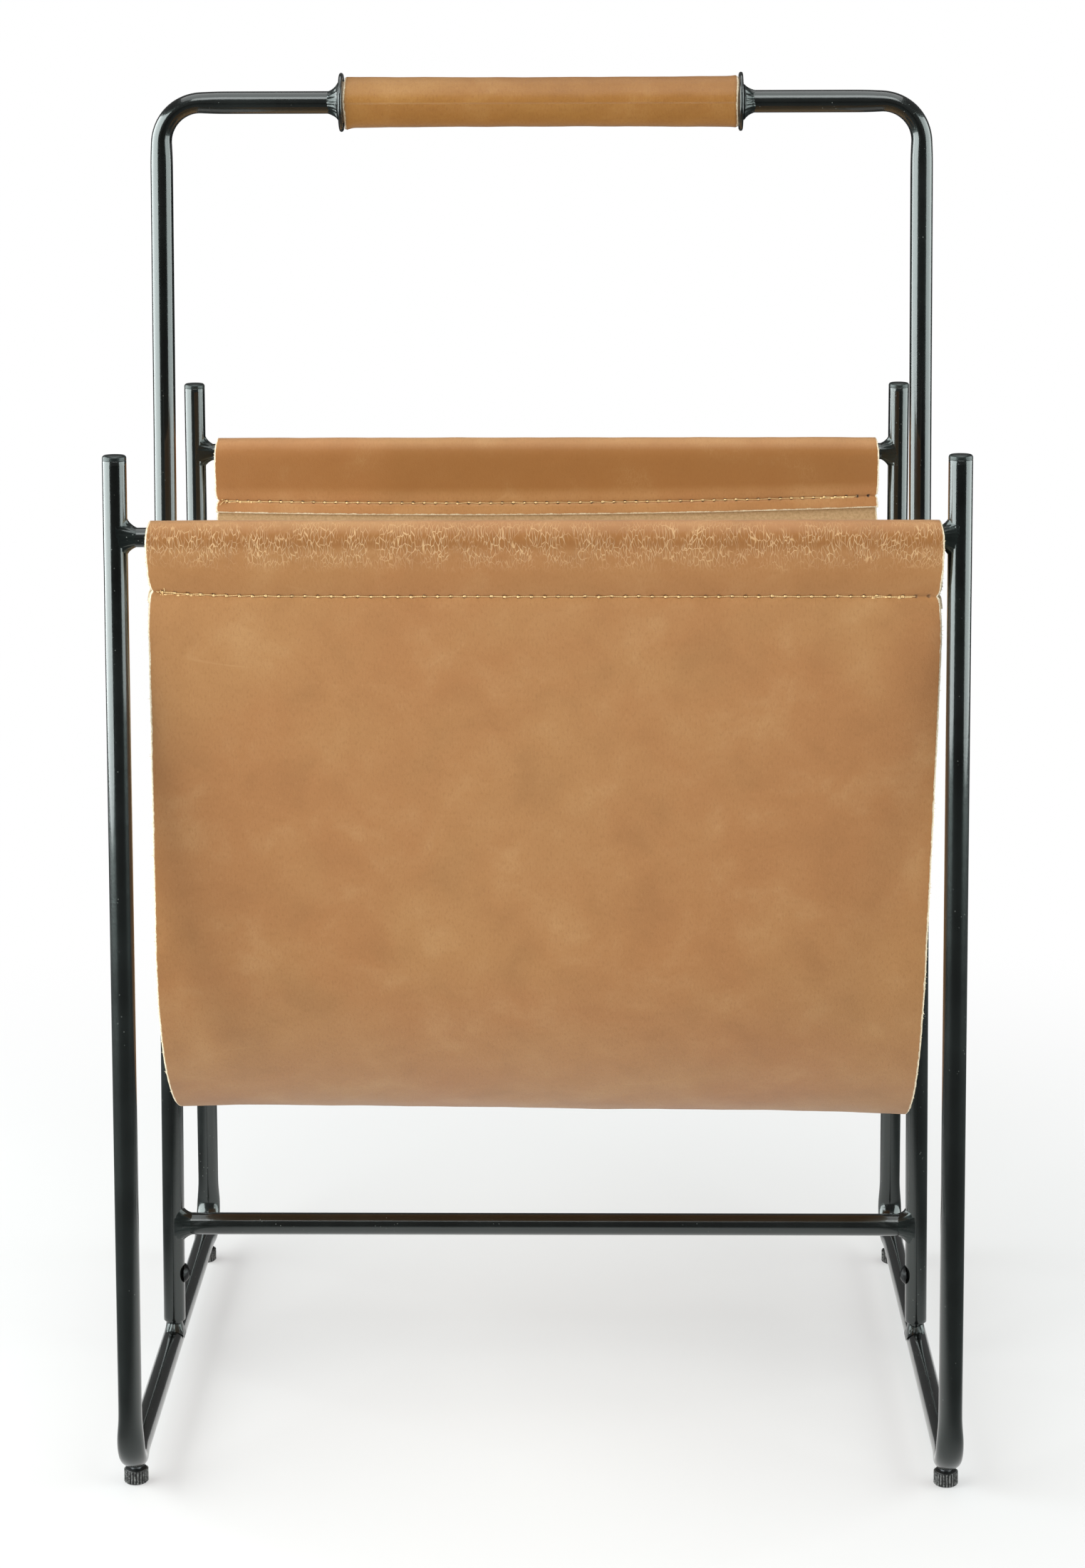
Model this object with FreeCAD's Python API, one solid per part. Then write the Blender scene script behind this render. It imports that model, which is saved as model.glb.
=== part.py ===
"""Magazine rack: bent steel tube frame, leather sling, carrying handle with a leather-wrapped grip.

Millimetres. X runs across the rack, the front faces -Y, Z is up.
The origin is on the floor, under the middle of the rack.
"""
import FreeCAD, Part
import math
import os

Vector = FreeCAD.Vector

# ---- driving dimensions ---------------------------------------------------
frame_width = 346.0          # between the axes of the two side frames
frame_depth = 300.0          # between the leg axes where they meet the rail axis
leg_lean = 6.2               # how far each leg top leans in over the leg's height
leg_top = 443.8              # top of the leg plugs above the floor
tube_radius = 5.0            # all frame tube is 10 mm outside
tube_wall = 1.2
frame_bend = 16.0            # centreline radius of the leg bends
rail_height = 12.0           # rail axis above the floor

plug_cap = 2.2               # plug showing above the tube's end
plug_depth = 9.0
plug_edge = 1.3

rod_radius = 4.0             # solid bars that carry the sling
rod_height = 409.8

handle_height = 584.0        # axis of the handle's top bar
handle_foot_half = 172.4     # half the distance between the handle's lower ends
handle_top_half = 169.2      # half the distance between its verticals at the top
handle_bend = 18.0
handle_foot_gap = 3.6        # between the rail's top and the handle tube's end

cross_bar_height = 66.8

spigot_radius = 3.7          # runs 0.1 mm clear in the handle tube
spigot_top = 58.0
screw_height = 43.0
screw_radius = 2.5           # M5
screw_length = 7.6
screw_head_radius = 4.4
screw_head_height = 2.6
screw_socket_flat = 3.0      # across the flats of the key socket
screw_socket_depth = 1.4

grip_half_length = 87.8
grip_radius = 11.3
grip_leather = 2.1
grip_end_gap = 0.5           # between the leather's end and the flange
flange_radius = 13.1
flange_thickness = 2.0

leather = 3.0                # sling leather
sling_half_width = 163.8
sling_arc_radius = 120.0     # middle of the leather's thickness, round the pocket's bottom
sling_arc_height = 250.0     # centre of that arc above the floor
hem_clearance = 0.15         # between the rod and the leather round it
hem_stitch_drop = 24.0       # from the rod's axis down to the seam
hem_flap = 6.0               # leather below the seam, inside the pocket

glide_offset = 134.0         # from the rack's middle to each glide, along Y
glide_radius = 5.2
glide_rib_depth = 0.45
glide_ribs = 24
glide_height = 6.4
glide_floor = 1.4            # solid bottom of the foot
glide_chamfer = 0.5
stud_radius = 2.5            # M5, 0.8 mm pitch
stud_top = 13.6
running_clearance = 0.05
insert_radius = 3.5
insert_bottom = 7.4
insert_top = 13.3

# ---- worked out from them -------------------------------------------------
half_width = frame_width / 2
half_depth = frame_depth / 2
bore_radius = tube_radius - tube_wall
tube_end = leg_top - plug_cap
handle_foot = rail_height + tube_radius + handle_foot_gap


def leg_y(z):
    """Distance of a leg's axis from the middle of the rack, at height z."""
    return half_depth - leg_lean * (z - rail_height) / (leg_top - rail_height)


def handle_x(z):
    """Distance of a handle vertical's axis from the middle of the rack, at height z."""
    rise = (z - handle_foot) / (handle_height - handle_foot)
    return handle_foot_half + (handle_top_half - handle_foot_half) * rise


def rounded_path(points, radius):
    """A wire through the points, with an arc of one radius at each inner corner."""
    edges = []
    start = points[0]
    for before, corner, after in zip(points, points[1:], points[2:]):
        to_before = (before - corner).normalize()
        to_after = (after - corner).normalize()
        half_angle = to_before.getAngle(to_after) / 2
        reach = radius / math.tan(half_angle)
        bisector = (to_before + to_after).normalize()
        centre = corner + bisector * (radius / math.sin(half_angle))
        arc_start = corner + to_before * reach
        arc_end = corner + to_after * reach
        edges.append(Part.LineSegment(start, arc_start).toShape())
        edges.append(Part.Arc(arc_start, centre - bisector * radius, arc_end).toShape())
        start = arc_end
    edges.append(Part.LineSegment(start, points[-1]).toShape())
    return Part.Wire(edges)


def swept_bar(path, radius):
    """A round solid bar along a path."""
    start = path.Edges[0].Vertexes[0].Point
    direction = path.Edges[0].tangentAt(path.Edges[0].FirstParameter)
    section = Part.Wire([Part.makeCircle(radius, start, direction)])
    return path.makePipeShell([section], True, True)


def bar_between(start, end, radius):
    """A straight round bar between two points."""
    return Part.makeCylinder(radius, (end - start).Length, start, end - start)


def ellipse_wire(centre, axis, half_z, half_y):
    """An ellipse square to X or Z: half_z along the first cross direction, half_y along Y."""
    across = Vector(0, 1, 0)
    if half_z >= half_y:
        curve = Part.Ellipse(centre + axis * half_z, centre + across * half_y, centre)
    else:
        curve = Part.Ellipse(centre + across * half_y, centre + axis * half_z, centre)
    return Part.Wire([curve.toShape()])


# ---- side frames ----------------------------------------------------------
def side_frame_path(x):
    """Front leg, rail and back leg of one side frame, as one bent line."""
    top = Vector(x, -leg_y(tube_end), tube_end)
    front = Vector(x, -half_depth, rail_height)
    back = Vector(x, half_depth, rail_height)
    end = Vector(x, leg_y(tube_end), tube_end)
    return rounded_path([top, front, back, end], frame_bend)


def side_frame(x):
    """One bent tube, drilled underneath for its two glide inserts."""
    path = side_frame_path(x)
    tube = swept_bar(path, tube_radius).cut(swept_bar(path, bore_radius))
    for y in (-glide_offset, glide_offset):
        drill = Part.makeCylinder(insert_radius, rail_height, Vector(x, y, 0))
        tube = tube.cut(drill)
    return tube


def leg_plug(x, side):
    """A plug in a leg's open top; side is -1 at the front and 1 at the back."""
    end = Vector(x, side * leg_y(tube_end), tube_end)
    foot = Vector(x, side * half_depth, rail_height)
    up = (end - foot).normalize()
    cap = Part.makeCylinder(tube_radius, plug_cap, end, up)
    rim = [edge for edge in cap.Edges if (edge.CenterOfMass - end).dot(up) > plug_cap - 0.01]
    cap = cap.makeFillet(plug_edge, rim)
    stem = Part.makeCylinder(bore_radius, plug_depth, end - up * plug_depth, up)
    return cap.fuse(stem).removeSplitter()


# ---- sling rods and their welds -------------------------------------------
def leg_bar(x, side):
    """The solid outline of one leg, to cope the rods and welds against."""
    foot = Vector(x, side * leg_y(rod_height - 60), rod_height - 60)
    top = Vector(x, side * leg_y(tube_end), tube_end)
    return bar_between(foot, top, tube_radius)


def sling_rod(side):
    """A solid bar between the two front legs, or the two back ones."""
    y = side * leg_y(rod_height)
    rod = bar_between(Vector(-half_width, y, rod_height), Vector(half_width, y, rod_height), rod_radius)
    for x in (-half_width, half_width):
        rod = rod.cut(leg_bar(x, side))
    return rod


def weld_neck(centre, inward, sections, axis):
    """A flared weld: sections are (distance along inward, half height, half width)."""
    wires = []
    for reach, half_z, half_y in sections:
        wires.append(ellipse_wire(centre + inward * reach, axis, half_z, half_y))
    return Part.makeLoft(wires, True, False)


def rod_weld(x, side):
    """The fillet weld between one rod end and its leg."""
    centre = Vector(x, side * leg_y(rod_height), rod_height)
    inward = Vector(-math.copysign(1, x), 0, 0)
    sections = [(3.0, 7.6, 4.7), (5.6, 5.6, 4.5), (7.9, rod_radius + 0.35, rod_radius + 0.3)]
    neck = weld_neck(centre, inward, sections, Vector(0, 0, 1))
    return neck.cut(leg_bar(x, side)).cut(sling_rod(side))


# ---- handle ---------------------------------------------------------------
def handle_path():
    """The inverted U of the handle, from its left foot to its right one."""
    return rounded_path(
        [
            Vector(-handle_foot_half, 0, handle_foot),
            Vector(-handle_top_half, 0, handle_height),
            Vector(handle_top_half, 0, handle_height),
            Vector(handle_foot_half, 0, handle_foot),
        ],
        handle_bend,
    )


def handle_frame():
    """One bent tube, drilled near each foot on the inner side for its screw."""
    path = handle_path()
    tube = swept_bar(path, tube_radius).cut(swept_bar(path, bore_radius))
    for side in (-1, 1):
        axis_point = Vector(side * handle_x(screw_height), 0, screw_height)
        drill = Part.makeCylinder(screw_radius + 0.2, tube_radius * 2, axis_point, Vector(-side, 0, 0))
        tube = tube.cut(drill)
    return tube


def handle_outline():
    """The handle tube as a solid bar, to cope the cross bar and welds against."""
    return swept_bar(handle_path(), tube_radius)


def cross_bar(radius):
    """A round bar along the lower cross bar's axis."""
    reach = handle_x(cross_bar_height)
    left = Vector(-reach, 0, cross_bar_height)
    return bar_between(left, Vector(reach, 0, cross_bar_height), radius)


def lower_cross_bar(outline):
    """The tube between the handle's verticals, under the sling."""
    return cross_bar(tube_radius).cut(cross_bar(bore_radius)).cut(outline)


def cross_bar_weld(side, outline):
    """The fillet weld at one end of the lower cross bar."""
    centre = Vector(side * handle_x(cross_bar_height), 0, cross_bar_height)
    sections = [(2.8, 7.8, 4.9), (5.6, 6.2, 5.1), (8.2, tube_radius + 0.3, tube_radius + 0.25)]
    neck = weld_neck(centre, Vector(-side, 0, 0), sections, Vector(0, 0, 1))
    return neck.cut(outline).cut(cross_bar(tube_radius))


def rail_outline(x):
    """The middle of one rail as a solid bar, to cope what stands on it."""
    return bar_between(Vector(x, -30, rail_height), Vector(x, 30, rail_height), tube_radius)


def spigot_axis(side):
    """The line that one spigot follows: its foot and its top."""
    foot = Vector(side * handle_x(rail_height), 0, rail_height)
    top = Vector(side * handle_x(spigot_top), 0, spigot_top)
    return foot, top


def screw_shank(side):
    """The threaded part of one handle screw."""
    seat = Vector(side * (handle_x(screw_height) - tube_radius), 0, screw_height)
    return Part.makeCylinder(screw_radius, screw_length, seat, Vector(side, 0, 0))


def handle_spigot(side):
    """The bar on the rail that the handle tube slides over, tapped for its screw."""
    foot, top = spigot_axis(side)
    spigot = bar_between(foot, top, spigot_radius)
    return spigot.cut(rail_outline(side * half_width)).cut(screw_shank(side))


def spigot_weld(side):
    """The weld round a spigot's foot, longer along the rail than across it."""
    foot, top = spigot_axis(side)
    bar = bar_between(foot, top, spigot_radius)
    sections = [(3.0, 6.9, 4.8), (5.4, 6.0, 4.8), (tube_radius + 2.6, spigot_radius + 1.2, spigot_radius + 1.0)]
    wires = []
    for height, half_y, half_x in sections:
        centre = foot + Vector(0, 0, height)
        curve = Part.Ellipse(centre + Vector(0, half_y, 0), centre + Vector(half_x, 0, 0), centre)
        wires.append(Part.Wire([curve.toShape()]))
    neck = Part.makeLoft(wires, True, False)
    return neck.cut(rail_outline(side * half_width)).cut(bar)


def handle_screw(side):
    """A button head screw through the inner wall of the handle tube."""
    seat = Vector(side * (handle_x(screw_height) - tube_radius), 0, screw_height)
    outward = Vector(-side, 0, 0)
    dome_radius = (screw_head_radius ** 2 + screw_head_height ** 2) / (2 * screw_head_height)
    centre = seat + outward * (screw_head_height - dome_radius)
    head = Part.makeSphere(dome_radius, centre)
    head = head.common(Part.makeCylinder(screw_head_radius, screw_head_height, seat, outward))
    corner = screw_socket_flat / math.sqrt(3)
    mouth = seat + outward * screw_head_height
    hexagon = []
    for step in range(7):
        angle = math.radians(60 * step)
        hexagon.append(mouth + Vector(0, corner * math.cos(angle), corner * math.sin(angle)))
    socket = Part.Face(Part.makePolygon(hexagon)).extrude(outward * -screw_socket_depth)
    return head.cut(socket).fuse(screw_shank(side)).removeSplitter()


# ---- grip -----------------------------------------------------------------
def ring(x_from, x_to, outer, inner):
    """A round sleeve about the handle's top bar."""
    start = Vector(x_from, 0, handle_height)
    along = Vector(1, 0, 0)
    body = Part.makeCylinder(outer, x_to - x_from, start, along)
    return body.cut(Part.makeCylinder(inner, x_to - x_from, start, along))


def grip_core_sleeve():
    """The sleeve on the top bar that gives the grip its thickness."""
    return ring(-grip_half_length, grip_half_length, grip_radius - grip_leather, tube_radius)


def grip_leather_wrap():
    """The leather round the sleeve, just short of both flanges."""
    reach = grip_half_length - grip_end_gap
    return ring(-reach, reach, grip_radius, grip_radius - grip_leather)


def grip_flange(side):
    """A thin washer welded on the bar at one end of the grip."""
    near = side * grip_half_length
    far = side * (grip_half_length + flange_thickness)
    return ring(min(near, far), max(near, far), flange_radius, tube_radius)


def flange_weld(side):
    """The weld on a flange's outer face."""
    start = Vector(side * (grip_half_length + flange_thickness), 0, handle_height)
    along = Vector(side, 0, 0)
    cone = Part.makeCone(tube_radius + 2.6, tube_radius + 0.3, 4.2, start, along)
    return cone.cut(Part.makeCylinder(tube_radius, 4.2, start, along))


# ---- sling ----------------------------------------------------------------
def pocket_tangent(point, radius):
    """Where a line from point touches the circle round the pocket's bottom, on its lower front."""
    centre = Vector(0, 0, sling_arc_height)
    reach = point - centre
    turn = math.acos(radius / reach.Length)
    angle = math.atan2(reach.z, reach.y) + turn
    return centre + Vector(0, radius * math.cos(angle), radius * math.sin(angle))


def mirrored(point):
    """The same point on the back half of the rack."""
    return Vector(point.x, -point.y, point.z)


def line(start, end):
    """A straight edge."""
    return Part.LineSegment(start, end).toShape()


def arc(start, middle, end):
    """An arc edge through three points."""
    return Part.Arc(start, middle, end).toShape()


def pocket_band():
    """The sling's cross-section between its two seams."""
    seam = Vector(0, -leg_y(rod_height), rod_height - hem_stitch_drop)
    outer_top = seam + Vector(0, -leather, 0)
    inner_top = seam
    outer = pocket_tangent(outer_top, sling_arc_radius + leather / 2)
    inner = pocket_tangent(inner_top, sling_arc_radius - leather / 2)
    outer_low = Vector(0, 0, sling_arc_height - sling_arc_radius - leather / 2)
    inner_low = Vector(0, 0, sling_arc_height - sling_arc_radius + leather / 2)
    edges = [
        line(outer_top, outer),
        arc(outer, outer_low, mirrored(outer)),
        line(mirrored(outer), mirrored(outer_top)),
        line(mirrored(outer_top), mirrored(inner_top)),
        line(mirrored(inner_top), mirrored(inner)),
        arc(mirrored(inner), inner_low, inner),
        line(inner, inner_top),
        line(inner_top, outer_top),
    ]
    return Part.Face(Part.Wire(edges))


def tangent_pair(centre, radius, point):
    """The two points where lines from a point below touch a circle."""
    reach = point - centre
    turn = math.acos(radius / reach.Length)
    base = math.atan2(reach.z, reach.y)
    found = []
    for sign in (-1, 1):
        angle = base + sign * turn
        found.append(centre + Vector(0, radius * math.cos(angle), radius * math.sin(angle)))
    return found


def hem_loop(side):
    """Cross-section of one hem: leather over the rod, both layers meeting at the seam."""
    centre = Vector(0, side * leg_y(rod_height), rod_height)
    outer_radius = rod_radius + hem_clearance + leather
    seam_out = centre + Vector(0, side * leather, -hem_stitch_drop)
    seam_in = centre + Vector(0, -side * leather, -hem_stitch_drop)
    flap_out = seam_out + Vector(0, -side * leather, -hem_flap)
    flap_in = seam_in + Vector(0, 0, -hem_flap)
    seam_middle = centre + Vector(0, 0, -hem_stitch_drop)
    touch_out = sorted(tangent_pair(centre, outer_radius, seam_out), key=lambda p: side * p.y)[-1]
    touch_in = sorted(tangent_pair(centre, outer_radius, seam_in), key=lambda p: side * p.y)[0]
    top = centre + Vector(0, 0, outer_radius)
    edges = [
        line(seam_out, touch_out),
        arc(touch_out, top, touch_in),
        line(touch_in, seam_in),
        line(seam_in, flap_in),
        line(flap_in, flap_out),
        line(flap_out, seam_middle),
        line(seam_middle, seam_out),
    ]
    outline = Part.Face(Part.Wire(edges))
    inner_radius = rod_radius + hem_clearance
    tip = centre + Vector(0, 0, -hem_stitch_drop + leather)
    low, high = sorted(tangent_pair(centre, inner_radius, tip), key=lambda p: p.y)
    eye_top = centre + Vector(0, 0, inner_radius)
    eye = Part.Face(Part.Wire([line(tip, low), arc(low, eye_top, high), line(high, tip)]))
    return outline.cut(eye)


def leather_sling():
    """The whole sling: one piece of leather from hem to hem."""
    strips = []
    for section in (pocket_band(), hem_loop(-1), hem_loop(1)):
        section.translate(Vector(-sling_half_width, 0, 0))
        strips.append(section.extrude(Vector(2 * sling_half_width, 0, 0)))
    return strips[0].fuse(strips[1:]).removeSplitter()


# ---- levelling glides -----------------------------------------------------
def glide_insert(x, y):
    """The tapped insert in the underside of a rail."""
    body = Part.makeCylinder(insert_radius, insert_top - insert_bottom, Vector(x, y, insert_bottom))
    bore = Part.makeCylinder(stud_radius + running_clearance, insert_top, Vector(x, y, 0))
    return body.cut(bore)


def glide_stud(x, y):
    """The threaded stud of one glide."""
    bottom = glide_floor + 0.1
    stud = Part.makeCylinder(stud_radius, stud_top - bottom, Vector(x, y, bottom))
    rim = [edge for edge in stud.Edges if edge.CenterOfMass.z > stud_top - 0.01]
    return stud.makeChamfer(0.4, rim)


def glide_foot(x, y):
    """The ribbed foot that turns with the stud, with a socket for it."""
    points = []
    groove = glide_radius - glide_rib_depth
    profile = ((0.0, glide_radius), (0.5, glide_radius), (0.62, groove), (0.88, groove))
    for step in range(glide_ribs):
        for share, radius in profile:
            angle = 2 * math.pi * (step + share) / glide_ribs
            points.append(Vector(x + radius * math.cos(angle), y + radius * math.sin(angle), 0))
    points.append(points[0])
    body = Part.Face(Part.makePolygon(points)).extrude(Vector(0, 0, glide_height))
    lower = Part.makeCone(glide_radius - glide_chamfer, glide_radius, glide_chamfer, Vector(x, y, 0))
    middle = Part.makeCylinder(glide_radius, glide_height - 2 * glide_chamfer, Vector(x, y, glide_chamfer))
    upper = Part.makeCone(glide_radius, glide_radius - glide_chamfer, glide_chamfer,
                          Vector(x, y, glide_height - glide_chamfer))
    body = body.common(lower.fuse([middle, upper]))
    socket = Part.makeCylinder(stud_radius + running_clearance, glide_height, Vector(x, y, glide_floor))
    return body.cut(socket)


# ---- the whole rack -------------------------------------------------------
def build():
    """Every node of the rack, by name."""
    corners = [(x, side) for side in (-1, 1) for x in (-half_width, half_width)]
    outline = handle_outline()
    nodes = {
        "left_side_frame": side_frame(-half_width),
        "right_side_frame": side_frame(half_width),
        "leg_end_plugs": Part.makeCompound([leg_plug(x, side) for x, side in corners]),
        "front_sling_rod": sling_rod(-1),
        "back_sling_rod": sling_rod(1),
        "rod_weld_beads": Part.makeCompound([rod_weld(x, side) for x, side in corners]),
        "handle_frame": handle_frame(),
        "lower_cross_bar": lower_cross_bar(outline),
        "cross_bar_weld_beads": Part.makeCompound([cross_bar_weld(side, outline) for side in (-1, 1)]),
        "left_handle_spigot": handle_spigot(-1),
        "right_handle_spigot": handle_spigot(1),
        "spigot_weld_beads": Part.makeCompound([spigot_weld(side) for side in (-1, 1)]),
        "handle_screws": Part.makeCompound([handle_screw(side) for side in (-1, 1)]),
        "grip_core_sleeve": grip_core_sleeve(),
        "left_grip_flange": grip_flange(-1),
        "right_grip_flange": grip_flange(1),
        "flange_weld_beads": Part.makeCompound([flange_weld(side) for side in (-1, 1)]),
        "grip_leather_wrap": grip_leather_wrap(),
        "leather_sling": leather_sling(),
    }
    inserts = []
    for side_name, x in (("left", -half_width), ("right", half_width)):
        for end_name, y in (("front", -glide_offset), ("back", glide_offset)):
            inserts.append(glide_insert(x, y))
            nodes[f"{end_name}_{side_name}_glide_stud"] = glide_stud(x, y)
            nodes[f"{end_name}_{side_name}_glide_foot"] = glide_foot(x, y)
    nodes["glide_inserts"] = Part.makeCompound(inserts)
    return nodes


def main():
    """Write each node to its own STEP file."""
    os.makedirs("parts", exist_ok=True)
    for name, shape in build().items():
        shape.exportStep(f"parts/{name}.step")
        print(f"{name}: {len(shape.Solids)} solid(s), {shape.Volume / 1000:.2f} cm3, valid {shape.isValid()}")


main()
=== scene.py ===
"""Looks of the magazine rack: bent steel frame, hung leather sling, handle with a leather grip.

Metres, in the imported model's own frame: X across the rack, the front faces -Y, Z is up.
"""
import logging
import math
from dataclasses import dataclass, field
from enum import Enum
from typing import Sequence, Union

import bmesh
import bpy
import numpy as np
from mathutils import Matrix, Vector


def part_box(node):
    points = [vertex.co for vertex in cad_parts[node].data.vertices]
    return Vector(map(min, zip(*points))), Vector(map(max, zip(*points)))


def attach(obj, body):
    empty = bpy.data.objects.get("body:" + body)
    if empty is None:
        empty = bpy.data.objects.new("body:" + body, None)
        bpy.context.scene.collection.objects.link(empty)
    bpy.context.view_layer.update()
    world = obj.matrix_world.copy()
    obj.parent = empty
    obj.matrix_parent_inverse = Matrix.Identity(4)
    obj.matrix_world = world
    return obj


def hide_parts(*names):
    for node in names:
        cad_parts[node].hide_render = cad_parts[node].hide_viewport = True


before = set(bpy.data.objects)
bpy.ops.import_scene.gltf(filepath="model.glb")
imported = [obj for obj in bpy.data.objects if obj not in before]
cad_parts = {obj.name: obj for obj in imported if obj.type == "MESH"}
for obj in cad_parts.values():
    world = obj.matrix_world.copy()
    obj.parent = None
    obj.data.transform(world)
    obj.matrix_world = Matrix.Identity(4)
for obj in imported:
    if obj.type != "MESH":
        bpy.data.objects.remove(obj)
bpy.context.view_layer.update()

MM = 0.001
TAU = 2 * math.pi
RACK = "rack"
ENDS = {"front": -1, "back": 1}
SIDES = {"left": -1, "right": 1}
HIDE_LAYER = "hide"
WEAR_LAYER = "wear"
Feed = Union[bpy.types.NodeSocket, float, tuple, None]

log = logging.getLogger("magazine_rack")


class Slot(Enum):
    """Material slots of the record that the pieces made here use."""

    COAT = "black_powder_coat"
    GLIDE = "glide_plastic"
    SLING = "sling_leather"
    GRIP = "grip_leather"


# ---- small tools ----------------------------------------------------------
def paint(code: str) -> tuple[float, float, float, float]:
    """A linear colour from a six-letter screen colour code.

    Args:
        code: Red, green and blue as hex pairs.

    Returns:
        Linear red, green, blue and an alpha of one.
    """
    shares = [int(code[i : i + 2], 16) / 255 for i in (0, 2, 4)]
    linear = [s / 12.92 if s <= 0.04045 else ((s + 0.055) / 1.055) ** 2.4 for s in shares]
    return (linear[0], linear[1], linear[2], 1.0)


def ease(value: np.ndarray, low: float, high: float) -> np.ndarray:
    """A smooth step from 0 at low to 1 at high.

    Args:
        value: Where the step is read.
        low: Where it leaves 0.
        high: Where it reaches 1.

    Returns:
        The step's height at each value.
    """
    share = np.clip((value - low) / (high - low), 0.0, 1.0)
    return share * share * (3 - 2 * share)


def swell(along: np.ndarray, across: np.ndarray, length: float, seed: int) -> np.ndarray:
    """Slow random waves over a surface, between about -1 and 1.

    Args:
        along: First surface coordinate, in metres.
        across: Second surface coordinate, in metres.
        length: Typical wavelength, in metres.
        seed: Picks the waves.

    Returns:
        The height of the waves at each place.
    """
    draw = np.random.default_rng(seed)
    total = np.zeros(np.broadcast(along, across).shape)
    for octave in (1.0, 1.7, 2.9):
        angle, phase_a, phase_b = draw.uniform(0, TAU, 3)
        turn = TAU / length * octave
        first = along * math.cos(angle) + across * math.sin(angle)
        second = across * math.cos(angle) - along * math.sin(angle)
        total = total + np.sin(first * turn + phase_a) * np.cos(second * turn * 0.8 + phase_b) / octave
    return total / 1.9


class Bench:
    """A node tree while its nodes are laid out."""

    def __init__(self, tree: bpy.types.NodeTree) -> None:
        """Starts on an empty tree.

        Args:
            tree: The shader or geometry tree to fill.
        """
        self.tree = tree
        tree.nodes.clear()

    def add(self, kind: str, inputs: dict | None = None, out: int | str = 0, **settings: object) -> Feed:
        """Adds one node.

        Args:
            kind: The node's type name.
            inputs: Socket name or number to a constant or to another node's output.
            out: Which output to hand back.
            **settings: The node's own properties.

        Returns:
            The chosen output socket, or the node itself where it has no outputs.
        """
        made = self.tree.nodes.new(kind)
        for key, value in settings.items():
            setattr(made, key, value)
        for key, value in (inputs or {}).items():
            for one in value if isinstance(value, list) else [value]:
                if isinstance(one, bpy.types.NodeSocket):
                    self.tree.links.new(one, made.inputs[key])
                else:
                    made.inputs[key].default_value = one
        return made.outputs[out] if len(made.outputs) else made

    def math(self, how: str, a: Feed, b: Feed = 0.5, c: Feed = 0.0, clamp: bool = False) -> Feed:
        """A Math node: how names the operation, a, b and c are its inputs."""
        return self.add("ShaderNodeMath", {0: a, 1: b, 2: c}, operation=how, use_clamp=clamp)

    def span(self, value: Feed, low: float, high: float, start: float = 0.0, end: float = 1.0) -> Feed:
        """Maps value from low..high to start..end smoothly, and holds it outside."""
        limits = {"Value": value, "From Min": low, "From Max": high, "To Min": start, "To Max": end}
        return self.add("ShaderNodeMapRange", limits, interpolation_type="SMOOTHSTEP")

    def blend(self, share: Feed, first: Feed, second: Feed) -> Feed:
        """Mixes two colours: share is 0 for the first and 1 for the second."""
        return self.add("ShaderNodeMix", {0: share, 6: first, 7: second}, 2, data_type="RGBA")

    def noise(
        self, where: Feed, scale: float, detail: float = 3.0, rough: float = 0.55, warp: float = 0.0
    ) -> Feed:
        """A noise value.

        Args:
            where: The vector to read it at.
            scale: How fine it is.
            detail: How many finer layers it has.
            rough: How strong those are.
            warp: How far it distorts itself.

        Returns:
            The value.
        """
        sizes = {"Vector": where, "Scale": scale, "Detail": detail, "Roughness": rough, "Distortion": warp}
        return self.add("ShaderNodeTexNoise", sizes)

    def cells(self, where: Feed, scale: float, feature: str = "F1") -> Feed:
        """The distance output of a Voronoi pattern read at the vector where."""
        sizes = {"Vector": where, "Scale": scale}
        return self.add("ShaderNodeTexVoronoi", sizes, "Distance", feature=feature)

    def stretch(self, where: Feed, scale: tuple[float, float, float]) -> Feed:
        """The vector where, scaled along each axis."""
        return self.add("ShaderNodeMapping", {"Vector": where, "Scale": scale})

    def axis(self, where: Feed, letter: str) -> Feed:
        """One coordinate of the vector where."""
        return self.add("ShaderNodeSeparateXYZ", {"Vector": where}, letter)

    def share(self, *parts: Feed) -> Feed:
        """Several masks multiplied together.

        Args:
            *parts: The masks, or constants.

        Returns:
            Their product.
        """
        total = parts[0]
        for part in parts[1:]:
            total = self.math("MULTIPLY", total, part)
        return total

    def bump(self, height: Feed, depth: float, strength: float = 1.0, under: Feed = None) -> Feed:
        """A Bump node.

        Args:
            height: The height to read.
            depth: How deep a height of one is, in metres.
            strength: How much of it shows.
            under: The normal that it lies on, if there is one.

        Returns:
            The bumped normal.
        """
        inputs = {"Height": height, "Distance": depth, "Strength": strength}
        if under is not None:
            inputs["Normal"] = under
        return self.add("ShaderNodeBump", inputs)


def new_material(name: str) -> tuple[bpy.types.Material, Bench]:
    """An empty node material and the bench to fill it on.

    Args:
        name: The material's name.

    Returns:
        The material and its bench.
    """
    material = bpy.data.materials.new(name)
    material.use_nodes = True
    return material, Bench(material.node_tree)


def close_material(bench: Bench, inputs: dict) -> None:
    """Ends a material in one Principled shader.

    Args:
        bench: The material's bench.
        inputs: The shader's sockets, by name.
    """
    shader = bench.add("ShaderNodeBsdfPrincipled", inputs)
    bench.add("ShaderNodeOutputMaterial", {"Surface": shader})


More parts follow.
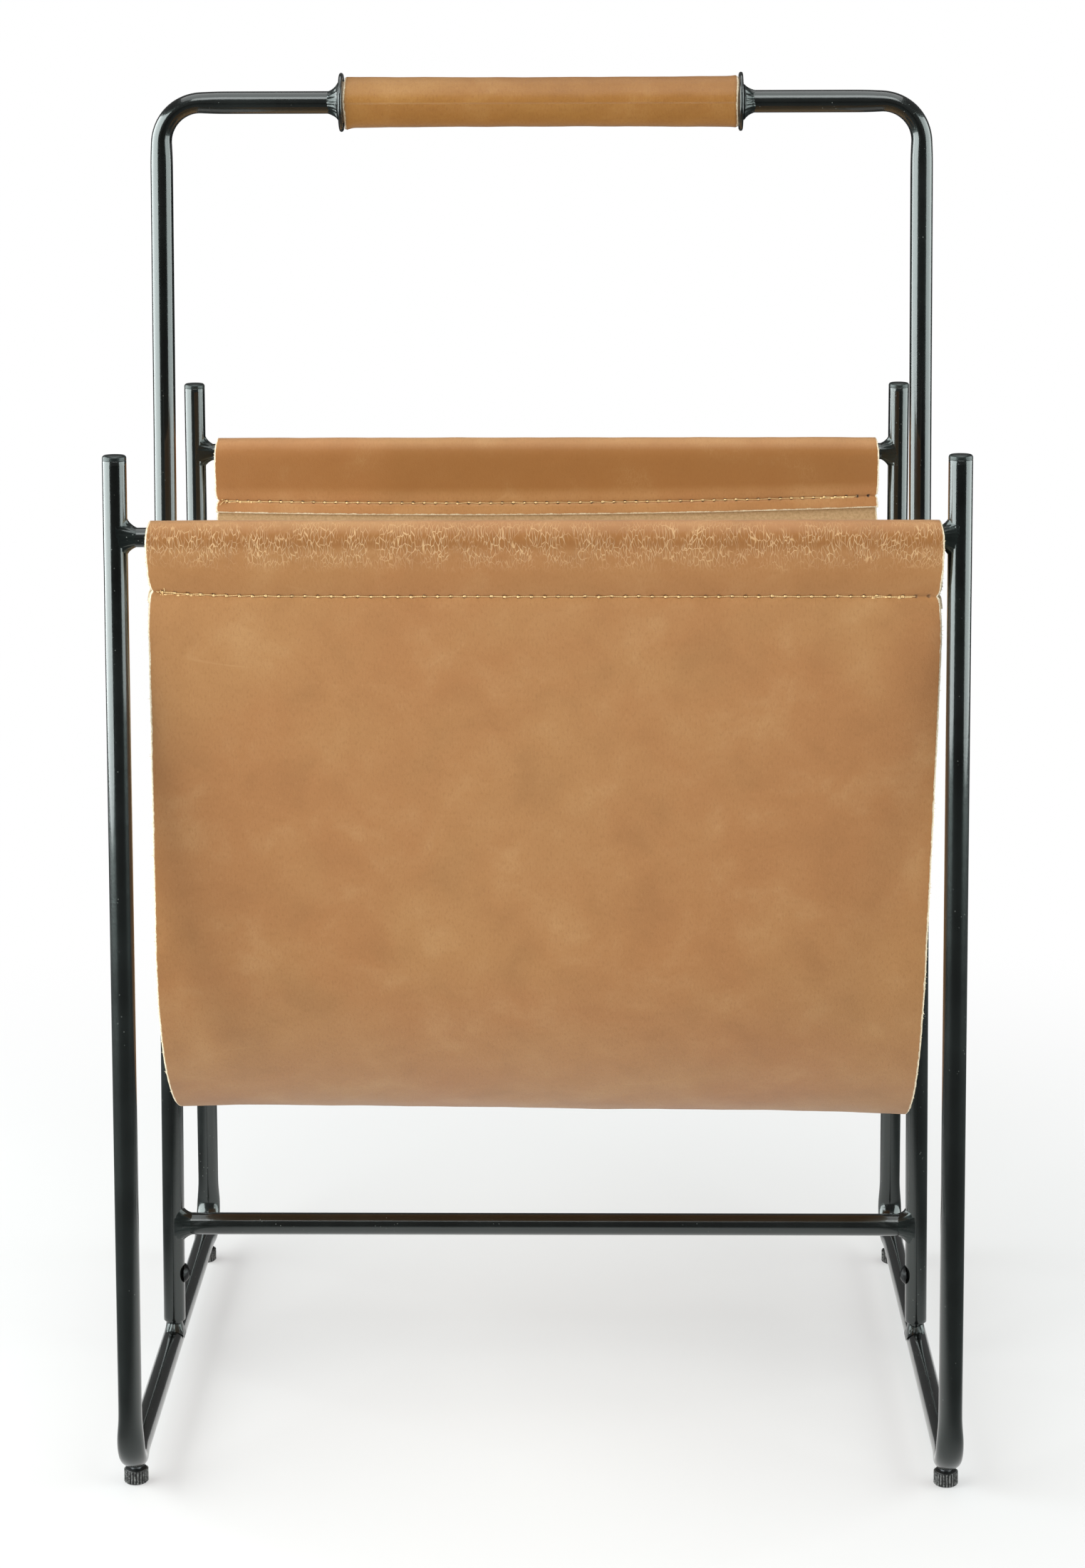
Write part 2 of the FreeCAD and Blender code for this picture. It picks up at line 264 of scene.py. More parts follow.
def new_piece(
    name: str,
    points: np.ndarray,
    faces: Sequence[Sequence[int]],
    material: bpy.types.Material,
    sharp: float = 40.0,
    layers: dict[str, np.ndarray] | None = None,
    unroll: np.ndarray | None = None,
) -> bpy.types.Object:
    """One finished mesh at the origin, smooth, with its faces turned outwards.

    Args:
        name: The object's name.
        points: Vertex places, one row each.
        faces: Vertex numbers of each face.
        material: The finish.
        sharp: Edges folded more than this many degrees stay crisp.
        layers: Point attributes, by name.
        unroll: Flat place of each vertex in metres, for the UV map.

    Returns:
        The new object.
    """
    mesh = bpy.data.meshes.new(name)
    mesh.from_pydata(np.asarray(points).tolist(), [], [list(face) for face in faces])
    for layer, values in (layers or {}).items():
        mesh.attributes.new(layer, "FLOAT", "POINT").data.foreach_set("value", values.astype(np.float32))
    if unroll is not None:
        corners = np.zeros(len(mesh.loops), np.int32)
        mesh.loops.foreach_get("vertex_index", corners)
        mesh.uv_layers.new(name="UVMap").data.foreach_set("uv", unroll[corners].astype(np.float32).ravel())
    solid = bmesh.new()
    solid.from_mesh(mesh)
    bmesh.ops.recalc_face_normals(solid, faces=solid.faces)
    solid.to_mesh(mesh)
    solid.free()
    mesh.shade_smooth()
    mesh.set_sharp_from_angle(angle=math.radians(sharp))
    mesh.materials.append(material)
    made = bpy.data.objects.new(name, mesh)
    bpy.context.scene.collection.objects.link(made)
    return made


def place(piece: bpy.types.Object, body: str, slot: Slot, *stands_for: str) -> bpy.types.Object:
    """Puts a finished piece on its body and says what it stands for.

    Args:
        piece: The finished object.
        body: The body it rides on.
        slot: Its material slot in the record; not used.
        *stands_for: CAD nodes that it replaces.

    Returns:
        The same object.
    """
    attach(piece, body)
    if stands_for:
        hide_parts(*stands_for)
    log.info("%s: %d faces on %s", piece.name, len(piece.data.polygons), body)
    return piece


def ring_skin(rings: np.ndarray, closed: bool = False) -> list[tuple[int, ...]]:
    """Faces between rings of points, with a fan over each end that isn't joined.

    Args:
        rings: Array of rings, points and coordinates.
        closed: Whether the last ring joins the first.

    Returns:
        The faces, for the rings laid out one after another.
    """
    count, around = rings.shape[:2]
    faces: list[tuple[int, ...]] = []
    for ring in range(count if closed else count - 1):
        here, there = ring * around, ((ring + 1) % count) * around
        for spot in range(around):
            beside = (spot + 1) % around
            faces.append((here + spot, here + beside, there + beside, there + spot))
    if not closed:
        faces.append(tuple(range(around)))
        faces.append(tuple(range((count - 1) * around, count * around)))
    return faces


def turned(
    profile: Sequence[tuple[float, float]], centre: Vector, axis: Vector, around: int = 64
) -> tuple[np.ndarray, list]:
    """A turned solid.

    Args:
        profile: (distance along the axis, radius) from one end to the other.
        centre: Where the axis starts.
        axis: Its direction.
        around: How many points go round.

    Returns:
        The rings and their faces.
    """
    line = axis.normalized()
    side = line.orthogonal().normalized()
    other = line.cross(side)
    angle = np.linspace(0, TAU, around, endpoint=False)
    spokes = np.outer(np.cos(angle), side) + np.outer(np.sin(angle), other)
    rings = np.array([np.array(centre + line * far) + spokes * max(radius, 1e-5) for far, radius in profile])
    return rings, ring_skin(rings)


# ---- finishes -------------------------------------------------------------
@dataclass(frozen=True)
class PowderCoat:
    """Black satin powder coat: fine orange peel, faint dust, a cool cast."""

    name: str = "black powder coat"
    deep: str = "0b0b0a"
    pale: str = "151716"
    roughness: float = 0.22
    gloss: float = 1.0
    peel: float = 0.00004
    dust: float = 0.35

    def make(self) -> bpy.types.Material:
        """Builds the material.

        Returns:
            The material.
        """
        material, bench = new_material(self.name)
        where = bench.add("ShaderNodeTexCoord", out="Object")
        cast = bench.noise(where, 26.0, 5.0, 0.6)
        colour = bench.blend(bench.span(cast, 0.35, 0.7), paint(self.deep), paint(self.pale))
        speck = bench.span(bench.cells(where, 420.0), 0.05, 0.13, 1.0, 0.0)
        patchy = bench.span(bench.noise(where, 60.0, 2.0), 0.5, 0.62)
        dusty = bench.share(speck, patchy, self.dust)
        colour = bench.blend(dusty, colour, paint("9aa09a"))
        peel = bench.noise(where, 1100.0, 2.0, 0.5)
        dents = bench.noise(where, 160.0, 2.0, 0.5)
        normal = bench.bump(peel, self.peel, 0.9, bench.bump(dents, self.peel * 2.5, 0.5))
        rough = bench.math("MULTIPLY_ADD", cast, 0.16, self.roughness - 0.08)
        rough = bench.math("MULTIPLY_ADD", dusty, 0.3, rough)
        close_material(
            bench,
            {
                "Base Color": colour,
                "Roughness": rough,
                "Specular IOR Level": 0.55,
                "Specular Tint": (0.84, 1.0, 0.97, 1.0),
                "Coat Weight": self.gloss,
                "Coat Roughness": 0.07,
                "Normal": normal,
            },
        )
        return material


@dataclass(frozen=True)
class Metal:
    """Plated or blackened steel of a fastener."""

    name: str
    base: str
    worn: str
    metallic: float = 1.0
    roughness: float = 0.35

    def make(self) -> bpy.types.Material:
        """Builds the material.

        Returns:
            The material.
        """
        material, bench = new_material(self.name)
        where = bench.add("ShaderNodeTexCoord", out="Object")
        smear = bench.noise(where, 300.0, 4.0, 0.65)
        colour = bench.blend(bench.span(smear, 0.45, 0.75), paint(self.base), paint(self.worn))
        rough = bench.math("MULTIPLY_ADD", smear, 0.25, self.roughness - 0.12)
        normal = bench.bump(bench.noise(where, 1500.0, 2.0), 0.00003, 0.6)
        inputs = {"Base Color": colour, "Roughness": rough, "Metallic": self.metallic, "Normal": normal}
        close_material(bench, inputs)
        return material


@dataclass(frozen=True)
class RibbedNylon:
    """Black moulded nylon whose rib tops have rubbed grey."""

    name: str = "glide nylon"
    deep: str = "1a1b1b"
    rubbed: str = "7a7b79"

    def make(self) -> bpy.types.Material:
        """Builds the material.

        Returns:
            The material.
        """
        material, bench = new_material(self.name)
        where = bench.add("ShaderNodeTexCoord", out="Object")
        wear = bench.add("ShaderNodeAttribute", out="Fac", attribute_name=WEAR_LAYER)
        scuff = bench.noise(where, 900.0, 4.0, 0.7)
        rubbed = bench.math("MULTIPLY", wear, bench.span(scuff, 0.38, 0.62), clamp=True)
        colour = bench.blend(rubbed, paint(self.deep), paint(self.rubbed))
        rough = bench.math("MULTIPLY_ADD", scuff, 0.3, 0.32)
        normal = bench.bump(scuff, 0.00005, 0.7)
        close_material(bench, {"Base Color": colour, "Roughness": rough, "Normal": normal})
        return material


@dataclass(frozen=True)
class WaxedThread:
    """Heavy waxed linen thread, twisted."""

    name: str = "waxed thread"
    pale: str = "ecca8e"
    deep: str = "b98b4e"

    def make(self) -> bpy.types.Material:
        """Builds the material.

        Returns:
            The material.
        """
        material, bench = new_material(self.name)
        where = bench.add("ShaderNodeTexCoord", out="Object")
        slanted = bench.stretch(where, (1.0, 0.35, 0.9))
        plies = bench.add("ShaderNodeTexWave", {"Vector": slanted, "Scale": 420.0, "Distortion": 1.5})
        fluff = bench.noise(where, 1800.0, 3.0, 0.7)
        tone = bench.math("MULTIPLY_ADD", plies, 0.5, bench.math("MULTIPLY", fluff, 0.5))
        colour = bench.blend(bench.span(tone, 0.15, 0.6), paint(self.deep), paint(self.pale))
        normal = bench.bump(tone, 0.00012, 0.8)
        inputs = {"Base Color": colour, "Roughness": 0.62, "Normal": normal, "Sheen Weight": 0.2}
        close_material(bench, inputs)
        return material


@dataclass(frozen=True)
class SeamLine:
    """Where a row of needle holes runs on the unrolled sling: distance along it, its extent, its stitch pitch
    and how dark its painted shade is.
    """

    at: float
    half: float
    pitch: float
    dark: float


@dataclass(frozen=True)
class Band:
    """A stretch of the unrolled sling between two distances along it, and how strongly it is marked."""

    low: float
    high: float
    weight: float = 1.0


@dataclass(frozen=True)
class PullUpLeather:
    """Oiled tan leather: clouded grain side, creased over the rods, paled with a painted highlight on their
    crests, painted shade along its seams and in its needle holes, napped flesh side, raw cream edges.
    """

    name: str
    seams: tuple[SeamLine, ...] = ()
    creased: tuple[Band, ...] = ()
    # Bands paled over a rod's crest: partly stretched leather, partly a painted highlight where the light
    # falls on top.
    stretch_and_highlight: tuple[Band, ...] = ()
    saddle: tuple[Band, ...] = ()
    rosy: str = "a67242"
    golden: str = "a97948"
    dark: str = "8a5c30"
    light: str = "be9564"
    brown: str = "8a5722"
    crease: str = "dcb684"
    # Colour of the painted shade along each seam's groove.
    seam_shade: str = "5a3616"
    # Colour of the painted shade inside the needle holes.
    hole: str = "2a1a0d"
    flesh: str = "b5946c"
    flesh_deep: str = "9a7a52"
    raw: str = "f0e4c8"
    raw_deep: str = "c9b08a"
    roughness: float = 0.47

    def band(self, bench: Bench, run: Feed, band: Band, soft: float) -> Feed:
        """One band of the sling with soft edges.

        Args:
            bench: The material's bench.
            run: Distance along the unrolled leather.
            band: Where it lies, and its weight.
            soft: Half the width of its edges.

        Returns:
            Its mask.
        """
        rise = bench.span(run, band.low - soft, band.low + soft)
        fall = bench.span(run, band.high - soft, band.high + soft, 1.0, 0.0)
        return bench.share(rise, fall, band.weight)

    def bands(self, bench: Bench, run: Feed, bands: Sequence[Band], soft: float = 0.003) -> Feed:
        """Several bands together.

        Args:
            bench: The material's bench.
            run: Distance along the unrolled leather.
            bands: The bands; none gives a plain 0.
            soft: Half the width of their edges.

        Returns:
            Their mask.
        """
        total: Feed = 0.0
        for band in bands:
            total = bench.math("MAXIMUM", total, self.band(bench, run, band, soft))
        return total

    def needle_hole(self, bench: Bench, flat: Feed, seam: SeamLine) -> Feed:
        """Spots where the needle went through, later darkened with painted shade.

        Args:
            bench: The material's bench.
            flat: Place on the unrolled leather.
            seam: The row of holes.

        Returns:
            The mask of the holes.
        """
        across = bench.axis(flat, "X")
        step = bench.math("PINGPONG", bench.math("ADD", across, seam.half), seam.pitch / 2)
        off = bench.math("SUBTRACT", bench.axis(flat, "Y"), seam.at)
        squares = bench.math("ADD", bench.math("POWER", step, 2.0), bench.math("POWER", off, 2.0))
        reach = seam.half + seam.pitch * 0.3
        inside = bench.math("LESS_THAN", bench.math("ABSOLUTE", across), reach)
        return bench.share(bench.span(bench.math("SQRT", squares), 0.00045, 0.0010, 1.0, 0.0), inside)

    def tone(self, bench: Bench, flat: Feed, cloud: Feed, patch: Feed, fibre: Feed) -> Feed:
        """Colour of unworn grain: broad clouds, patches, fibres and a few scuffs.

        Args:
            bench: The material's bench.
            flat: Place on the unrolled leather.
            cloud: Broad noise.
            patch: Middling noise.
            fibre: Fine noise, drawn out along the hide.

        Returns:
            The colour.
        """
        light, dark = paint(self.light), paint(self.dark)
        colour = bench.blend(bench.span(cloud, 0.38, 0.62), paint(self.rosy), paint(self.golden))
        marks = (
            (bench.span(patch, 0.46, 0.8), 0.35, light),
            (bench.span(patch, 0.52, 0.25), 0.30, dark),
            (bench.span(fibre, 0.50, 0.30), 0.34, dark),
            (bench.span(fibre, 0.55, 0.75), 0.22, light),
        )
        for mask, weight, ink in marks:
            colour = bench.blend(bench.share(mask, weight), colour, ink)
        drawn = bench.noise(bench.stretch(flat, (5.0, 13.0, 1.0)), 1.0, 2.0)
        line = bench.math("ABSOLUTE", bench.math("SUBTRACT", drawn, 0.5))
        scuff = bench.share(bench.span(line, 0.0, 0.0035, 1.0, 0.0), bench.span(cloud, 0.55, 0.68), 0.4)
        return bench.blend(scuff, colour, light)

    def grain_side(self, bench: Bench, flat: Feed, run: Feed) -> tuple[Feed, Feed]:
        """Colour and height of the grain side.

        Args:
            bench: The material's bench.
            flat: Place on the unrolled leather.
            run: Distance along it.

        Returns:
            The colour and the height.
        """
        cloud = bench.noise(flat, 9.0, 5.0, 0.55, 0.5)
        patch = bench.noise(flat, 36.0, 5.0, 0.6, 0.3)
        fibre = bench.noise(bench.stretch(flat, (1150.0, 480.0, 1.0)), 1.0, 4.0, 0.65)
        colour = self.tone(bench, flat, cloud, patch, fibre)
        brown = bench.share(self.bands(bench, run, self.saddle), bench.span(cloud, 0.25, 0.6, 0.7, 1.0))
        colour = bench.blend(brown, colour, paint(self.brown))
        # Pale band over each rod's crest: stretched leather with a painted highlight.
        colour = bench.blend(self.bands(bench, run, self.stretch_and_highlight), colour, paint(self.light))
        shaken = {0: 0.006, 4: flat, 5: bench.noise(flat, 60.0, 3.0)}
        warped = bench.add("ShaderNodeMix", shaken, 1, data_type="VECTOR")
        strands = bench.cells(bench.stretch(warped, (880.0, 300.0, 1.0)), 1.0, "DISTANCE_TO_EDGE")
        lines = bench.span(strands, 0.01, 0.09, 1.0, 0.0)
        broken = bench.span(bench.noise(flat, 150.0, 2.0, 0.5), 0.32, 0.58)
        creases = bench.share(lines, self.bands(bench, run, self.creased, 0.005), broken)
        worn = bench.span(patch, 0.15, 0.60, 0.35, 1.0)
        colour = bench.blend(bench.share(creases, worn, 0.70), colour, paint(self.crease))
        faint = bench.share(lines, bench.span(patch, 0.55, 0.7), 0.16)
        colour = bench.blend(faint, colour, paint(self.light))
        height = bench.math("MULTIPLY_ADD", creases, -0.8, bench.share(fibre, 0.35))
        return colour, height

    def sewn(self, bench: Bench, flat: Feed, run: Feed, colour: Feed, height: Feed) -> tuple[Feed, Feed]:
        """Adds the seams: a line of painted shade along each groove and a row of needle holes each.

        Args:
            bench: The material's bench.
            flat: Place on the unrolled leather.
            run: Distance along it.
            colour: Colour without seams.
            height: Height without seams.

        Returns:
            The colour and the height.
        """
        narrow = 0.0004
        for seam in self.seams:
            # Painted shade along the seam's groove.
            seam_shade = self.band(bench, run, Band(seam.at - narrow, seam.at + narrow, seam.dark), narrow)
            colour = bench.blend(bench.share(seam_shade, 0.38), colour, paint(self.seam_shade))
            hole = self.needle_hole(bench, flat, seam)
            # Painted shade inside the needle holes.
            colour = bench.blend(bench.share(hole, seam.dark), colour, paint(self.hole))
            height = bench.math("MULTIPLY_ADD", hole, -2.0, height)
        return colour, height

    def make(self) -> bpy.types.Material:
        """Builds the material.

        Returns:
            The material.
        """
        material, bench = new_material(self.name)
        flat = bench.add("ShaderNodeUVMap", uv_map="UVMap")
        run = bench.axis(flat, "Y")
        hide = bench.add("ShaderNodeAttribute", out="Fac", attribute_name=HIDE_LAYER)
        colour, height = self.sewn(bench, flat, run, *self.grain_side(bench, flat, run))
        nap = bench.noise(flat, 700.0, 4.0, 0.75)
        under = bench.blend(bench.span(nap, 0.3, 0.7), paint(self.flesh_deep), paint(self.flesh))
        fibres = bench.noise(bench.stretch(flat, (2600.0, 900.0, 1.0)), 1.0, 3.0, 0.7)
        cut = bench.blend(bench.span(fibres, 0.30, 0.62), paint(self.raw_deep), paint(self.raw))
        tatter = bench.math("SUBTRACT", bench.noise(flat, 260.0, 4.0, 0.7), 0.5)
        ragged = bench.math("MULTIPLY_ADD", tatter, 1.1, bench.math("ABSOLUTE", hide))
        colour = bench.blend(bench.span(hide, -0.75, -0.35, 1.0, 0.0), colour, under)
        colour = bench.blend(bench.span(ragged, 0.42, 0.75, 1.0, 0.0), colour, cut)
        rough = bench.math("MULTIPLY_ADD", nap, 0.16, self.roughness - 0.08)
        rough = bench.math("MAXIMUM", rough, bench.span(hide, -0.5, 0.6, 0.85, 0.0))
        pores, fine = bench.cells(flat, 1500.0), bench.noise(flat, 2300.0, 3.0, 0.6)
        grain = bench.math("MULTIPLY_ADD", pores, 0.5, fine)
        pitted = bench.bump(grain, 0.00012, 0.6, bench.bump(height, 0.00022, 0.8))
        close_material(
            bench,
            {
                "Base Color": colour,
                "Roughness": rough,
                "Specular IOR Level": 0.4,
                "Sheen Weight": 0.08,
                "Sheen Roughness": 0.5,
                "Normal": pitted,
            },
        )
        return material


@dataclass
class Finishes:
    """Every finish of the rack, made once."""

    coat: bpy.types.Material = field(default_factory=lambda: PowderCoat().make())
    weld: bpy.types.Material = field(
        default_factory=lambda: PowderCoat("coated weld", "0b0d0d", "161b19", 0.30, 0.45, 0.00010, 0.5).make()
    )
    plug: bpy.types.Material = field(
        default_factory=lambda: PowderCoat("leg plug", "121414", "202523", 0.38, 0.2, 0.00006, 0.7).make()
    )
    screw: bpy.types.Material = field(
        default_factory=lambda: Metal("blackened screw", "17191a", "4a4d4e", 0.6).make()
    )
    zinc: bpy.types.Material = field(default_factory=lambda: Metal("zinc plating", "8d9194", "b9bdc0").make())
    nylon: bpy.types.Material = field(default_factory=lambda: RibbedNylon().make())
    thread: bpy.types.Material = field(default_factory=lambda: WaxedThread().make())
    fray: bpy.types.Material = field(
        default_factory=lambda: WaxedThread("raw leather fibre", "f6ecd4", "dcc59c").make()
    )
    core: bpy.types.Material = field(
        default_factory=lambda: Metal("grip core", "b9a58a", "d8c6ab", 0.0, 0.7).make()
    )

    def dress_kept_nodes(self) -> None:
        """Gives each CAD node that stays in view its finish."""
        kept = {"leg_end_plugs": self.plug, "handle_screws": self.screw, "grip_core_sleeve": self.core}
        kept["glide_inserts"] = self.plug
        for end in ENDS:
            for side in SIDES:
                kept[f"{end}_{side}_glide_stud"] = self.zinc
        for name, material in kept.items():
            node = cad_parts[name]
            node.data.materials.clear()
            node.data.materials.append(material)
            log.info("%s keeps its CAD shape, in %s", name, material.name)


# ---- tube work ------------------------------------------------------------
@dataclass
class BentTube:
    """A tube bent in one plane: its axis runs through corners, rounded by one radius."""

    corners: list[Vector]
    across: Vector
    radius: float = 5 * MM
    bend: float = 16 * MM
    wall: float = 1.2 * MM
    widened: float = 0.17
    thinned: float = 0.12
    edge: float = 0.35 * MM
    depth: float = 12 * MM
    step: float = 2 * MM
    around: int = 40

    def axis(self) -> tuple[np.ndarray, np.ndarray]:
        """Points of the rounded axis.

        Returns:
            The points, and how far into a bend each one is, from 0 to 1.
        """
        places: list[Vector] = []
        lengths = [0.0]
        middles: list[float] = []

        def extend(point: Vector) -> None:
            """Adds a point and the distance run so far."""
            if places:
                lengths.append(lengths[-1] + (point - places[-1]).length)
            places.append(point)

        def run_to(point: Vector) -> None:
            """Adds a straight run.

            Args:
                point: Where it ends.
            """
            start = places[-1].copy()
            count = max(1, round((point - start).length / self.step))
            for share in range(1, count + 1):
                extend(start.lerp(point, share / count))

        extend(self.corners[0].copy())
        for before, corner, after in zip(self.corners, self.corners[1:], self.corners[2:]):
            to_before = (before - corner).normalized()
            to_after = (after - corner).normalized()
            half = to_before.angle(to_after) / 2
            reach = self.bend / math.tan(half)
            centre = corner + (to_before + to_after).normalized() * (self.bend / math.sin(half))
            run_to(corner + to_before * reach)
            spoke = places[-1] - centre
            turn = math.pi - 2 * half
            hinge = to_after.cross(to_before).normalized()
            count = max(8, round(turn * self.bend / (self.step * 0.6)))
            middles.append(lengths[-1] + turn * self.bend / 2)
            for share in range(1, count + 1):
                extend(centre + Matrix.Rotation(-turn * share / count, 3, -hinge) @ spoke)
        run_to(self.corners[-1])
        run = np.array(lengths)
        bent = np.zeros(len(run))
        for middle in middles:
            bent = np.maximum(bent, np.exp(-(((run - middle) / (self.bend * 0.95)) ** 4)))
        return np.array([list(point) for point in places]), bent

    def rings(self) -> np.ndarray:
        """Rings of the whole tube.

        Returns:
            The rings in order: inside wall, rim, outside, rim and inside wall again.
        """
        line, bent = self.axis()
        tangent = np.gradient(line, axis=0)
        tangent /= np.linalg.norm(tangent, axis=1)[:, None]
        across = np.array(self.across.normalized())
        normal = np.cross(tangent, across)
        wide = self.radius * (1 + self.widened * bent)
        thin = self.radius * (1 - self.thinned * bent)
        bore = self.radius - self.wall
        angle = np.linspace(0, TAU, self.around, endpoint=False)

        def ring(index: int, shift: float, wide_r: float, thin_r: float) -> np.ndarray:
            """One ring.

            Args:
                index: Its point of the axis.
                shift: How far it is moved along the axis.
                wide_r: Its radius across the bend.
                thin_r: Its radius in the bend's plane.

            Returns:
                Its corners.
            """
            middle = line[index] + tangent[index] * shift
            return (
                middle
                + np.outer(np.cos(angle) * wide_r, across)
                + np.outer(np.sin(angle) * thin_r, normal[index])
            )

        edge, full = self.edge, self.radius
        start = [(self.depth, bore * 0.02), (self.depth, bore), (edge, bore), (0.0, bore + edge)]
        start += [(0.0, full - edge), (edge * 0.3, full - edge * 0.3), (edge, full)]
        made = [ring(0, far, size, size) for far, size in start]
        made += [ring(i, 0.0, wide[i], thin[i]) for i in range(1, len(line) - 1)]
        made += [ring(len(line) - 1, -far, size, size) for far, size in reversed(start)]
        return np.array(made)

    def build(self, name: str, material: bpy.types.Material) -> bpy.types.Object:
        """The tube as one closed shell, open at its ends like the real one."""
        rings = self.rings()
        return new_piece(name, rings.reshape(-1, 3), ring_skin(rings), material, 50)


@dataclass
class Bead:
    """A fillet weld where a round bar meets a tube, or a flat face, at right angles."""

    centre: Vector
    along: Vector
    upright: Vector
    bar_radius: float
    base_radius: float
    reach: float
    spread: float
    hollow: float = 0.45
    flat_base: bool = False
    seed: int = 1
    around: int = 96
    steps: int = 9

    def rings(self) -> np.ndarray:
        """Sections of the bead.

        Returns:
            One section for each angle round the bar.
        """
        along = np.array(self.along.normalized())
        upright = np.array(self.upright.normalized())
        side = np.cross(along, upright)
        centre = np.array(self.centre)
        angle = np.linspace(0, TAU, self.around, endpoint=False)
        lumps = swell(np.cos(angle) * 4 * MM, np.sin(angle) * 4 * MM, 9 * MM, self.seed)
        spread_lumps = swell(np.cos(angle) * 4 * MM, np.sin(angle) * 4 * MM, 7 * MM, self.seed + 50)
        ripple = np.sin(angle * 19 + 3 * lumps)

        def spot(up: np.ndarray, beside: np.ndarray, out: np.ndarray) -> np.ndarray:
            """Points from their three distances."""
            return centre + np.outer(up, upright) + np.outer(beside, side) + np.outer(out, along)

        def base_out(beside: np.ndarray) -> np.ndarray:
            """How far out the base's surface is."""
            if self.flat_base:
                return np.full_like(beside, self.base_radius)
            return np.sqrt(np.maximum(self.base_radius**2 - beside**2, 0.0))

        wide = self.spread * (1 + 0.16 * spread_lumps) + 0.00008 * ripple
        limit = wide + 1.0 if self.flat_base else self.base_radius * 0.985
        up_base, beside_base = wide * np.cos(angle), np.clip(wide * np.sin(angle), -limit, limit)
        out_bar = self.reach * (1 + 0.1 * lumps) + 0.0001 * ripple
        up_bar, beside_bar = self.bar_radius * np.cos(angle), self.bar_radius * np.sin(angle)
        foot = spot(up_base, beside_base, base_out(beside_base) - 0.12 * MM)
        corner = spot(up_bar, beside_bar, base_out(np.clip(beside_bar, -limit, limit)))
        lip = spot(up_bar, beside_bar, out_bar)
        middle = (foot + lip) / 2
        pull = corner * self.hollow + middle * (1 - self.hollow)
        pull = pull + (middle - corner) * (0.10 * ripple[:, None] + 0.12 * lumps[:, None])
        made = []
        for share in np.linspace(0, 1, self.steps):
            made.append(foot * (1 - share) ** 2 + pull * 2 * share * (1 - share) + lip * share**2)
        buried = spot(up_bar * 0.8, beside_bar * 0.8, out_bar)
        deep = spot(up_bar * 0.8, beside_bar * 0.8, base_out(np.clip(beside_bar, -limit, limit)) * 0.8)
        made += [buried, deep]
        return np.array(made).transpose(1, 0, 2)

    def build(self, name: str, material: bpy.types.Material) -> bpy.types.Object:
        """The bead as one closed ring."""
        rings = self.rings()
        return new_piece(name, rings.reshape(-1, 3), ring_skin(rings, closed=True), material, 70)


def join(name: str, pieces: Sequence[bpy.types.Object]) -> bpy.types.Object:
    """Joins finished meshes into one object.

    Args:
        name: The joined object's name.
        pieces: Objects with the same material.

    Returns:
        The joined object.
    """
    solid = bmesh.new()
    for piece in pieces:
        solid.from_mesh(piece.data)
    mesh = pieces[0].data.copy()
    solid.to_mesh(mesh)
    solid.free()
    mesh.name = name
    for piece in pieces:
        bpy.data.objects.remove(piece)
    made = bpy.data.objects.new(name, mesh)
    bpy.context.scene.collection.objects.link(made)
    return made


